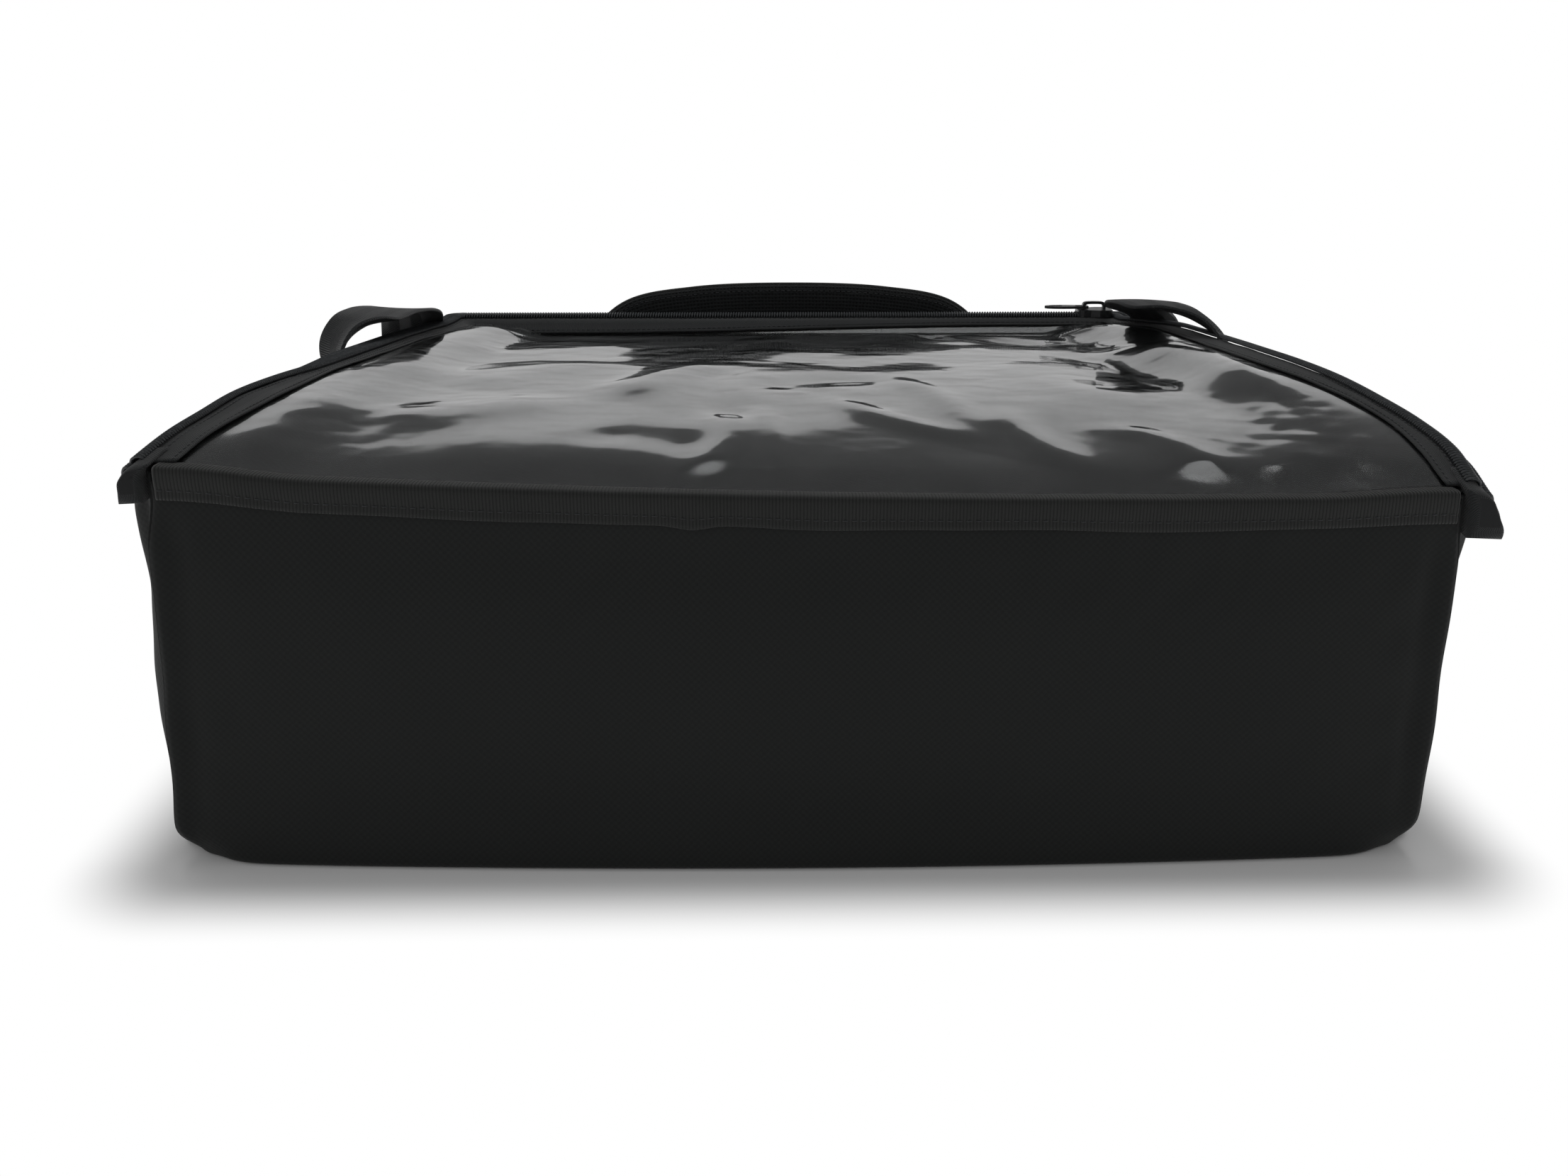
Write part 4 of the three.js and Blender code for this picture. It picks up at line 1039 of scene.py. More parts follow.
    def relief(self, wall: Wall, run: Run, z: Array) -> Array:
        """Creases of a wall's cloth, in mm outwards.

        Broad and small waves fade towards the seams. Puckers hang slanting from the top seam and wander. Beside
        each corner the cloth stands in a ridge, draws in past it and hangs a little slack past that.

        Args:
            wall: which wall.
            run: places along its outline.
            z: heights, with the places as rows.

        Returns:
            The creases' relief at each place and height.
        """
        side = wall in (Wall.LEFT, Wall.RIGHT)
        broad, broad_size = (1.5, 95) if side else (0.7, 130)
        small, small_size = (0.5 if side else 0.2), 36
        pucker, pucker_pitch, slant, wandering = 0.26, 19, 0.55, 2.6
        ridge_height, rear_right_ridge = 1.6, 3.2
        span = self.span(wall)
        s = run.reach.reshape(-1, *([1] * (z.ndim - 1)))
        under = self.wall_top(wall, run.foot).reshape(s.shape) - z
        edge = np.minimum(s, span - s)
        corner = np.where(s < span / 2, wall.value, (wall.value + 1) % 4)
        inner = ease(edge, 2, 30) * ease(z, 3, 30) * ease(under, 0, 22)
        waves = broad * ripple(s, z, broad_size, 11 + wall.value)
        waves = waves + small * ripple(s, z, small_size, 21 + wall.value)
        under_top = np.exp(-(under / 26.0)) * ease(under, 0, 5) * ease(edge, 4, 20)
        phase = math.tau * (s + slant * under) / pucker_pitch + wandering * ripple(s, z, 60, 31 + wall.value)
        patchy = 0.25 + 0.75 * ease(ripple(s, 0 * z, 110, 41 + wall.value), -0.4, 0.6)
        puckers = pucker * np.cos(phase) * patchy
        wander = ripple(z, 17 * corner, 42, 47)
        ridge = (
            np.where(corner == Wall.REAR.value, rear_right_ridge, ridge_height) * hump(edge, 0, 2.6)
            * (0.85 + 0.3 * wander)
        )
        gather = -1.4 * hump(edge, 8, 3.4) * ease(z, 8, 30) * (0.7 + 0.4 * wander)
        slack = 0.6 * hump(edge, 17, 6) * ripple(z, 11 * corner, 34, 49) * ease(z, 10, 40)
        beside_corner = (ridge + gather + slack) * ease(z, 1, 16) * ease(under, 3, 26)
        return inner * waves + under_top * puckers + beside_corner

    def span(self, wall: Wall) -> float:
        """Length of a wall's outline with its two half corners, in mm."""
        return sum(self.length(wall))

    def tucked(self, points: Array, edge: Array) -> Array:
        """A wall's points with its foot drawn in towards the bag's middle near the lower corners."""
        pull = self.tuck * hump(edge, 0, self.tuck_run) * hump(points[..., 2], 0, self.tuck_height)
        return points - np.sign(points) * (pull[..., None] * np.array([1.0, 1.0, 0.0]))

    def face(self, wall: Wall, run: Run, z: Array, out: float = 0.0) -> Array:
        """Points on a wall's outer cloth, or a little outside it, in mm.

        The cloth bellies and creases, and in its upper part it runs out or in to where its top edge is sewn.

        Args:
            wall: which wall.
            run: places along its outline.
            z: heights over the floor (places by heights).
            out: distance outside the cloth.

        Returns:
            The points (places by heights).
        """
        top = self.wall_top(wall, run.foot)[:, None]
        inside, sewn = self.side_top(wall, run)
        share = np.clip((z - self.foot_radius) / (top - self.foot_radius), 0, 1)
        edge = np.minimum(run.reach, self.span(wall) - run.reach)[:, None]
        swell = self.bulge(wall, run.share[:, None], share) + self.relief(wall, run, z)
        start, end = self.drawn_over
        swell = swell * (1 - ease(z - sewn, -self.swell_end, 0)) - inside * ease(z - sewn, -start, -end)
        loose = np.maximum(self.fold(wall, run.share[:, None], share) - np.maximum(-inside, 0), 0)
        swell = swell + loose * (1 - ease(z - sewn, -self.fold_end, 0)) + self.settled(wall, run, z)
        return self.tucked(run.point(-swell - out, z), edge)


# Body


@dataclass
class BagBody:
    """The woven shell: four walls that belly and crease between their seams, and the base."""

    plan: Plan
    cloth: float = 1.0
    base_cloth: float = 0.8
    base_inset: float = 1.2
    seam_gap: float = 0.15
    wall_columns: int = 210
    wall_rows: int = 74
    crowded: float = 0.35
    turned_over: float = 4.4
    sewn_at: float = 3.0
    allowance: float = 9.0
    turned_edges: float = 6.0

    def wall(self, wall: Wall) -> Patch:
        """One wall as a lofted sheet: its foot turns in on a quarter circle, its face bellies out, and on the
        zipped sides its top rolls over the tape. Its columns crowd towards the corners, by a part of a sine.
        """
        plan = self.plan
        span = plan.span(wall)
        even = np.linspace(-1, 1, self.wall_columns)
        ends = np.sin(even * math.pi / 2) * self.crowded + even * (1 - self.crowded)
        reach = self.seam_gap + (span - 2 * self.seam_gap) * (ends + 1) / 2
        run = plan.along(wall, reach)
        top = plan.wall_top(wall, run.foot)[:, None]
        edge = np.minimum(reach, span - reach)[:, None]
        r = plan.toe
        turn = np.linspace(0, math.pi / 2, 7)[None]
        z = r - r * np.cos(turn) + 0 * edge
        foot = plan.tucked(run.point(r - r * np.sin(turn) - self.stands(wall, run, z), z), edge)
        sewn = plan.side_top(wall, run)[1]
        face = plan.face(wall, run, r + (sewn - r) * np.linspace(0, 1, self.wall_rows)[None, 1:])
        parts = [foot, face]
        if wall is not Wall.REAR:
            parts.append(self.turned_edge(wall, run))
        return lofted(np.concatenate(parts, axis=1))

    def turned_edge(self, wall: Wall, run: Run) -> Array:
        """The wall's top edge over the tape: a quarter circle where the zip is level, straight where it hangs.
        """
        plan = self.plan
        turn = plan.turned(run.x, run.y, "turn")
        angle = np.linspace(0, math.pi / 2, 6)[None, 1:]
        flat = np.linspace(plan.rolled, self.turned_over, 5)[None, 1:]
        wave = 0.2 * ripple(run.reach[:, None], flat, 21, 51 + wall.value) * (flat > 4)
        rolled, over, back = plan.rolled, plan.over_tape, plan.turned_back
        hung = (rolled + back) * angle / (math.pi / 2) - back
        round_run = rolled * (1 - np.cos(angle)) * (1 - turn) + hung * turn
        round_height = ((rolled + over) * np.sin(angle) - rolled) * (1 - turn) + over * turn
        across = np.concatenate([round_run, flat + wave + 0 * turn], axis=1)
        height = np.concatenate([round_height, over + 0 * flat + 0 * turn], axis=1)
        inside, z = plan.over(run, across, height)
        held = plan.turns(run)
        level = plan.wall_top(wall, run.foot)[:, None] + height
        return run.point(inside * held + across * (1 - held), z * held + level * (1 - held))

    def stands(self, wall: Wall, run: Run, z: Array) -> Array:
        """How far the wall's foot stands outside the outline, in mm: its settling and its fold there."""
        plan = self.plan
        return plan.settled(wall, run, z) + plan.fold(wall, run.share[:, None], 0 * z)

    def base(self) -> Patch:
        """The base sheet: loops of the outline drawn in to the middle, with a slight wave."""
        plan = self.plan
        loops = []
        for wall in AROUND:
            reach = np.linspace(0, plan.span(wall), 60)[:-1]
            run = plan.along(wall, reach)
            edge = np.minimum(reach, plan.span(wall) - reach)
            out = self.stands(wall, run, 0 * edge[:, None])[:, 0]
            loops.append(plan.tucked(run.point(plan.toe - self.base_inset - out, 0 * edge), edge))
        outer = np.concatenate(loops)
        scale = np.linspace(1, 0.06, 22)[None, :, None]
        grid = outer[:, None] * scale
        grid[..., 2] = 0.3 + 0.1 * (1 + ripple(grid[..., 0], grid[..., 1], 70, 5)) * (scale[..., 0] < 0.99)
        return lidded(grid).turned()

    def build(self) -> None:
        """Makes the walls, the base and the topstitching along the zipped walls."""
        plan = self.plan
        for wall in Wall:
            name = wall.name.lower()
            made = piece(
                f"{name}_wall_cloth", self.wall(wall), OXFORD, "bag", [f"{name}_panel"],
                self.cloth,
            )
            height = plan.front_rim - plan.row_top + self.allowance
            flat = (plan.span(wall) * MM, (height + self.turned_edges) * MM)
        base = piece("base_cloth", self.base(), OXFORD, "bag", ["base_panel"], self.base_cloth)
        rows = []
        for wall in ZIPPED:
            span = plan.span(wall)
            run = plan.along(wall, np.linspace(6, span - 6, 240))
            low, high = (run.point(*plan.over(run, self.sewn_at, height))[:, 0] for height in (0.45, 1.45))
            rows.append(stitch_row(low, high - low, TAPE_STITCH))
        piece("rim_topstitching", joined(rows), THREAD, "bag")


# Zip


@dataclass
class Zip:
    """The zip round three sides: two woven tapes, two rows of coil and the folded tape ends at the hinge."""

    plan: Plan
    slider_centre: float = 198.0
    spread: float = 1.7
    row_gap: float = 0.3
    row_width: float = 5.0
    tape: float = 0.8
    tape_edge: float = 1.45
    pitch: float = 1.6
    wire: float = 0.62
    coil_height: float = 2.0
    length: float = 1290.0
    nose: tuple[float, float] = (3.0, 5.5)
    least_corner: float = 4.0
    stretched_from: float = 19.0
    sewn_at: tuple[float, float] = (19.2, 1.8)

    def path(self, count: int) -> Run:
        """Places along the zip: up the right side from the hinge, across the front, down the left side."""
        plan = self.plan
        hinge_end = -plan.half + plan.zip_end
        starts = [float(plan.reach_of(Wall.RIGHT, hinge_end)), 0.0, 0.0]
        ends = [plan.span(Wall.RIGHT), plan.span(Wall.FRONT), float(plan.reach_of(Wall.LEFT, hinge_end))]
        lengths = [e - s for s, e in zip(starts, ends)]
        at = np.linspace(0, sum(lengths), count)
        runs, passed = [], 0.0
        for wall, start, length in zip(ZIPPED, starts, lengths):
            here = (at >= passed) & (at < passed + length) if wall is not Wall.LEFT else at >= passed
            runs.append(plan.along(wall, at[here] - passed + start))
            passed += length
        return Run(*(np.concatenate([getattr(r, k) for r in runs]) for k in ("foot", "normal", "share", "reach")))

    def parting(self, run: Run) -> Array:
        """How far each row stands off the middle: parted before the slider's nose and down the right side."""
        behind, taper = self.nose
        ahead = np.clip((run.foot[:, 0] - self.slider_centre + behind) / taper, 0, 1)
        right = run.normal[:, 0] > 0.5
        return self.spread * np.where(right, 1.0, ahead)

    def shifted(self, run: Run, distance: Array) -> Array:
        """Plan points at distances inside the outline, whose corner keeps a least radius as it shrinks.

        Args:
            run: places along the outline.
            distance: inside the outline, in mm (places by distances).

        Returns:
            Points with their height left at 0, in mm.
        """
        plan = self.plan
        radius = plan.front_corner
        left = np.maximum(radius - distance, self.least_corner)
        shift = distance + left - radius
        limit = plan.half - radius
        diagonal = (np.abs(run.normal).prod(1) > 1e-6) & (run.foot[:, 1] > 0)
        x, y = run.x, run.y
        sign = np.sign(x)
        arc_x = sign * limit - sign * shift + run.normal[:, :1] * left
        arc_y = limit - shift + run.normal[:, 1:] * left
        on_front = run.normal[:, 1] > 0.99
        side_x = x - sign * distance
        start = -plan.half + plan.zip_end
        side_y = start + (y - start) * (limit - shift - start) / (limit - start)
        front_x = x * (limit - shift) / limit
        front_y = y - distance
        px = np.where(diagonal[:, None], arc_x, np.where(on_front[:, None], front_x, side_x))
        py = np.where(diagonal[:, None], arc_y, np.where(on_front[:, None], front_y, side_y))
        return np.stack([px, py, 0 * px], -1)

    def laid(self, run: Run, across: Array, height: Array, follows: Array) -> Array:
        """Points of the zip at runs across the tapes and heights over them, turned outward with the sides.

        Args:
            run: places along the outline.
            across: run across the tapes from the wall's seam, in mm.
            height: over the tapes, in mm.
            follows: how each run across follows the parted rows.

        Returns:
            The points (places by runs across).
        """
        inside, z = self.plan.over(run, across + follows * self.parting(run)[:, None], height)
        points = self.shifted(run, inside)
        points[..., 2] = z
        return points

    def last_run(self, run: Run) -> Array:
        """Run across the tapes to the lid tape's inner edge, at each place along the outline, in mm."""
        plan = self.plan
        x, y = run.x, run.y
        edge, apex = (plan.turned(x, y, row) for row in ("edge", "apex"))
        return plan.apex_run + edge - apex

    def rim_tape(self, run: Run) -> Patch:
        """The rim's tape: level beside its coil, then down behind the wall, in line with the wall's turned top.

        Each corner of its profile is (run across, height over the tape). Beside the coil a third number says
        how far it follows its row where the rows part.
        """
        plan = self.plan
        start = plan.chain_inset - self.row_gap / 2 - self.tape_edge
        top = [
            (start, -0.1, -1), (start - 0.5, 0, -1), (9.4, 0, -0.8), (8.5, 0, -0.6), (7.2, 0, -0.4), (6, 0, -0.2)
        ]
        top += [(across, 0, 0) for across in (5, 4, 3, 2.4)]
        level = [(1.9, -0.4), (1.6, -1.2), (1.5, -4), (1.5, -8), (1.5, -13.5)]
        hung = [(1.9, 0), (0.8, -0.1), (-0.4, -0.6), (-1.6, -1.4), (-2.8, -2.4)]
        turn = plan.turned(run.x, run.y, "turn")[..., None]
        lower = np.array(level)[None] * (1 - turn) + np.array(hung)[None] * turn
        upper = np.broadcast_to(np.array(top)[None, :, :2], (len(run.foot), len(top), 2))
        lower[..., 0] *= np.where(lower[..., 0] < 0, ease(run.y + plan.half, 4, 26), 1)
        across = np.concatenate([upper, lower], axis=1)
        follows = np.array([f for *_, f in top] + [0.0] * len(level))[None]
        return lofted(self.laid(run, across[..., 0], across[..., 1], follows)).turned()

    def lid_tape(self, run: Run) -> Patch:
        """The lid's tape: from its coil in over the clear sheet's edge, with a slight wave.

        Each corner of its profile is (run across, height over the tape, how far it follows its row). Past the
        coil the profile is stretched so that it ends at the tape's inner edge.
        """
        start = self.plan.chain_inset + self.row_gap / 2 + self.tape_edge
        profile = [
            (start, -0.1, 1), (start + 0.5, 0, 1), (15, 0, 0.95), (16, 0, 0.85), (17, 0, 0.7), (18, 0, 0.5)
        ]
        profile += [
            (19, 0, 0.3), (21.4, 0, 0), (24, 0, 0), (27, 0, 0), (29.5, 0, 0), (30.8, 0.05, 0), (31.4, -0.1, 0)
        ]
        across, height, follows = (np.array(column)[None] for column in zip(*profile))
        still, end = self.stretched_from, profile[-1][0]
        across = across + np.maximum(across - still, 0) * (self.last_run(run) - end) / (end - still)
        place_step = 2.4
        wave = 0.15 * ripple(np.arange(len(run.foot))[:, None] * place_step, across, 40, 71)
        return lofted(self.laid(run, across, height + wave, follows))

    def turn(self) -> Patch:
        """One turn of coil: a thin tube bent over a flattened arch, from the tape up, across and down again.

        Over half a turn it goes by the cosine across, drawn square at its feet, and by a root of the sine up.
        """
        steps, sides, foot, lean, square, flat_top = 8, 5, 0.35, 0.21, 0.14, 0.55
        angle = np.linspace(0, math.pi, steps)
        across = -self.row_width / 2 * np.cos(angle) * (1 - square + square * np.abs(np.cos(angle)))
        rise = foot + self.coil_height * np.sin(angle) ** flat_top
        spine = np.stack([lean * self.pitch * np.linspace(-1, 1, steps), across, rise], 1)
        forward = unit(np.gradient(spine, axis=0))
        up = unit(np.cross(forward, np.array([1.0, 0.0, 0.0])))
        side = np.cross(up, forward)
        ring = np.arange(sides) * math.tau / sides
        section = self.wire * np.stack([np.cos(ring), np.sin(ring)], 1)
        thickness = np.ones((steps, 1, 1))
        thickness[[0, -1]] = 0.9
        return swept(spine, thickness * section, side, up)

    def row(self, sign: int) -> Patch:
        """One row of coil turns, on the rim's side (-1) or the lid's (1) of the chain's middle."""
        plan = self.plan
        count = int(self.length / self.pitch)
        run = self.path(count)
        middle = plan.chain_inset + sign * (self.row_gap + self.row_width) / 2
        still = np.zeros((count, 1))
        place, over = (self.laid(run, still + middle, still + height, still + sign)[:, 0] for height in (0, 1))
        along = unit(np.gradient(place, axis=0))
        side = unit(np.cross(over - place, along))
        frames = np.stack([along, side, np.cross(along, side)], axis=1)
        return repeated(self.turn(), frames, place)

    def build(self) -> None:
        """Makes both tapes, both rows, the stitches and the corner tabs."""
        run = self.path(520)
        piece("zip_rim_tape", self.rim_tape(run), ZIP_TAPE, "bag", ["rim_tape"], self.tape)
        piece("zip_lid_tape", self.lid_tape(run), ZIP_TAPE, "lid", ["lid_tape"], self.tape)
        piece("zip_rim_coil", self.row(-1), COIL, "bag", ["rim_coil"])
        piece("zip_lid_coil", self.row(1), COIL, "lid", ["lid_coil"])
        rows = []
        dense = self.path(700)
        last = self.last_run(dense)
        outer, from_edge = self.sewn_at
        for across in (outer + 0 * last, last - from_edge):
            low, high = (self.laid(dense, across, 0 * across + height, 0 * across)[:, 0] for height in (0.1, 1.1))
            rows.append(stitch_row(low, high - low, TAPE_STITCH))
        piece("zip_tape_stitches", joined(rows), THREAD, "lid")
        for wall in (Wall.LEFT, Wall.RIGHT):
            self.corner_tab(wall)

    def corner_tab(self, wall: Wall) -> None:
        """The zip's tape end: it closes the turned strip at a hinge corner like a folded, crumpled ribbon.

        Its section follows the turned tape outside and the wall inside. Carried past the hinge wall, it draws
        in on a quarter circle and closes.
        """
        plan = self.plan
        right = wall is Wall.RIGHT
        side = 1 if right else -1
        first, height, strip, columns = 20.5, 0.95, 15, 15
        last, flare = (-3.5, 4.2) if right else (0.6, 1.0)
        past_wall, closing = 3.4, 0.42
        bend = np.linspace(0, math.pi / 2, 10)[1:]
        y = -plan.half + np.concatenate([np.linspace(strip, 0, columns), -past_wall * np.sin(bend)])
        shrink = np.concatenate([np.zeros(columns), 1 - np.cos(bend)])[:, None]
        foot = np.stack([0 * y + side * plan.half, y], axis=1)
        run = Run(foot, np.stack([0 * y + side, 0 * y], axis=1), 0 * y, y)
        across = np.linspace(first, last, 26)[None]
        inside, z = plan.over(run, across, height + 0 * y[:, None])
        top, bottom = z[:, :1], z[:, -1:]
        low = (top - z) / (top - bottom)
        crumple = 0.45 * ripple(y[:, None], across, 8, 81 + wall.value) * ease(low, 0.1, 0.5)
        inside = inside - flare * ease(low, 0.25, 1) + crumple
        # The inner face, as (distance inside the outline, share of the way down).
        inner = np.array([(-0.9, 0.97), (-0.6, 0.7), (-0.4, 0.4), (0.3, 0.16)])[None] + 0 * y[:, None, None]
        inside = np.concatenate([inside, inner[..., 0], inside[:, :1]], axis=1)
        z = np.concatenate([z, top * (1 - inner[..., 1]) + bottom * inner[..., 1], top - 1.0], axis=1)
        drawn = 1 - closing * shrink
        inside = inside.mean(1, keepdims=True) * (1 - drawn) + inside * drawn
        z = (z.mean(1, keepdims=True) + 1) * (1 - drawn) + z * drawn
        sections = np.stack([side * (plan.half - inside), y[:, None] + 0 * z, z], -1)
        name = wall.name.lower()
        piece(f"{name}_zip_end_tab", tube(sections), ZIP_TAPE, "bag", [f"{name}_corner_tab"])


# Lid


@dataclass(frozen=True)
class Fold:
    """A crease of the clear sheet, in mm: a soft ridge along a line in plan, or a valley below 0."""

    start: tuple[float, float]
    end: tuple[float, float]
    width: float
    height: float
    bend: float = 0.0

    def relief(self, x: Array, y: Array) -> Array:
        """Height: a bell of the distance from the bent line, faded to nothing at both ends."""
        a, b = np.array(self.start), np.array(self.end)
        way = b - a
        length = float(np.hypot(*way))
        way = way / length
        t = ((x - a[0]) * way[0] + (y - a[1]) * way[1]) / length
        off = -(x - a[0]) * way[1] + (y - a[1]) * way[0] - self.bend * 4 * t * (1 - t)
        fade = ease(t, -0.15, 0.25) * ease(-t, -1.15, -0.75)
        return self.height * np.exp(-((off / self.width) ** 2)) * fade


@dataclass
class Lid:
    """The lid: a clear sheet over a woven panel, foam and film, which sag from the zip and the hinge seam."""

    plan: Plan
    hidden: float = 4.5
    front_inset: float = 24.0
    rear_inset: float = 0.6
    crown: float = 5.0
    sag_taken_up: float = 0.9
    window: float = 0.5
    cloth: float = 0.9
    foam: float = 6.0
    film: float = 0.5
    film_sides: float = 24.5
    film_rear: float = 12.0
    film_rise: float = 5.8
    seam_allowance: float = 24.0
    follows_rim: tuple[float, float] = (36, 90)
    folds: tuple[Fold, ...] = (
        Fold((-77, -90), (-31, 6), 16, 2.4, 10),
        Fold((-31, 6), (-31, -133), 11, -1.8, -10),
        Fold((-31, -133), (-44, -215), 9, 2.2, 8),
        Fold((-17, -209), (-20, -120), 7, 1.8, -5),
        Fold((13, -102), (62, -166), 9, 1.6, -6),
        Fold((-23, -70), (40, -38), 18, -1.8, 6),
        Fold((40, -38), (66, -170), 9, 1.5, 8),
        Fold((-206, -200), (-207, -120), 14, 1.5, -6),
        Fold((-175, -150), (-111, -91), 22, 2.0, -8),
        Fold((-85, -164), (-39, -182), 14, -1.4, 5),
        Fold((-142, -64), (-100, 20), 26, 1.8, 12),
        Fold((98, 207), (165, 133), 16, -2.4, -10),
        Fold((110, 120), (60, 190), 18, 1.6, 8),
        Fold((181, 80), (199, -104), 15, 2.6, 12),
        Fold((150, 70), (178, -60), 17, -2.0, 6),
        Fold((120, 20), (140, -110), 20, 1.5, -10),
        Fold((82, -125), (101, -202), 10, 2.0, -6),
        Fold((120, -150), (150, -215), 9, 1.5, 5),
        Fold((190, -120), (171, -217), 12, 1.8, 8),
    )

    def base(self, x: Array, y: Array) -> Array:
        """Height of the lid's layers without their drop: the rim's, sunk by the dip and by the sag inside.

        Args:
            x: place along the hinge seam, in mm.
            y: place from the middle towards the handle, in mm.

        Returns:
            Height over the floor, in mm.
        """
        plan = self.plan
        half = plan.half
        side, front = half - np.abs(x), half - y
        inside = np.minimum(side, front)
        foot_x = np.where(side < front, np.sign(x) * half, x)
        foot_y = np.where(side < front, y, half)
        near = plan.fade(y) * (1 - ease(inside, *self.follows_rim))
        rim = plan.rim(x, y) * (1 - near) + plan.rim(foot_x, foot_y) * near
        ring = half - plan.tape_reach
        sag = plan.sag * np.maximum(1 - (x / ring) ** 2, 0) * np.maximum(1 - (y / ring) ** 2, 0)
        return rim - plan.lid_dip * plan.fade(y) * plan.dip(inside) - sag + plan.raised(x, y)

    def sheet(
        self,
        inset: float,
        rear: float,
        drop: float,
        columns: int,
        lines: int,
        relief: Callable[[Array, Array], Array] | None = None,
        reaches_tape: bool = False,
    ) -> Patch:
        """One layer of the lid: a height over a four-sided patch in plan, drawn with even columns and lines.

        Args:
            inset: distance of its sides and its front edge inside the outline, in mm.
            rear: distance of its hinge edge inside the outline, in mm.
            drop: how far it lies under the rim, in mm.
            columns: points from side to side.
            lines: points from the hinge to the handle wall.
            relief: height added at each place, in mm.
            reaches_tape: True where its sides follow the tape's inner edge, and are hidden under it.

        Returns:
            The layer.
        """
        plan = self.plan
        y = np.linspace(-plan.half + rear, plan.half - inset, lines)[None]
        left = right = inset + 0 * y
        if reaches_tape:
            past_apex = 0.8
            left, right = (
                np.maximum(side.at(y, side.edge) - self.hidden, side.at(y, side.apex) + past_apex)
                for side in (plan.left, plan.right)
            )
        share = np.linspace(0, 1, columns)[:, None]
        x = (left - plan.half) * (1 - share) + (plan.half - right) * share
        y = y + 0 * x
        z = self.base(x, y) - drop
        if relief:
            z = z + relief(x, y)
        return lofted(np.stack([x, y, z], -1))

    def waves(self, x: Array, y: Array) -> Array:
        """The clear sheet's relief, in mm: broad waves, fine ripples near the hinge corners and the folds, all
        faded at its edges, on a dome that takes up the lid's sag and swells a little over it.
        """
        half = self.plan.half
        lifted = 1.2
        edge = ease(half - np.abs(x) - self.plan.turned(x, y, "edge"), 1, 24) * ease(half - y, 32, 52)
        held = edge * ease(y + half, 6, 34)
        broad = ripple(x, y * 0.8, 120, 3) + 0.16 * ripple(x, y, 48, 4)
        fine = 0.16 * ripple(x, y, 15, 6) * ease(x, 110, 190) * ease(-y, 60, 160)
        fine = fine + 0.12 * ripple(x, y, 17, 8) * ease(-x, 120, 190) * ease(-y, 80, 160)
        folded = sum(fold.relief(x, y) for fold in self.folds)
        ring = half - self.plan.tape_reach
        dome = np.maximum(1 - (x / ring) ** 2, 0) * np.maximum(1 - (y / ring) ** 2, 0)
        return held * (broad + fine + folded + lifted) + (self.plan.sag * self.sag_taken_up + self.crown) * dome

    def quilt(self, x: Array, y: Array) -> Array:
        """The film's relief, in mm: shallow crinkles, and its edges brought up over the foam's side."""
        half = self.plan.half
        inside = np.minimum(np.minimum(half - np.abs(x), half - y) - self.film_sides, y + half - self.film_rear)
        crinkles = 0.25 * (ripple(x, y, 28, 12) - 1) * ease(inside, 1, 6)
        return crinkles + self.film_rise * (1 - ease(inside, 0, 3.2))

    def build(self) -> None:
        """Makes the clear sheet, the woven panel under it, the foam and the film."""
        drawn = self.sheet(self.front_inset, self.rear_inset, 4.1, 220, 220, self.waves, True)
        window = piece("clear_sheet", drawn, VINYL, "lid", ["clear_window"], self.window)
        drawn = self.sheet(self.front_inset, self.rear_inset, 5.0, 150, 150, None, True)
        panel = piece("lid_cloth", drawn, OXFORD, "lid", ["lid_panel"], self.cloth)
        drawn = self.sheet(28.8, 16, 6.4, 90, 90)
        foam = piece("lid_foam", drawn, FOAM, "lid", ["lid_board"], self.foam)
        drawn = self.sheet(self.film_sides, self.film_rear, 12.8, 120, 120, self.quilt)
        lining = piece("lid_film", drawn, FOIL, "lid", ["lid_lining"], self.film)


# Hinge binding


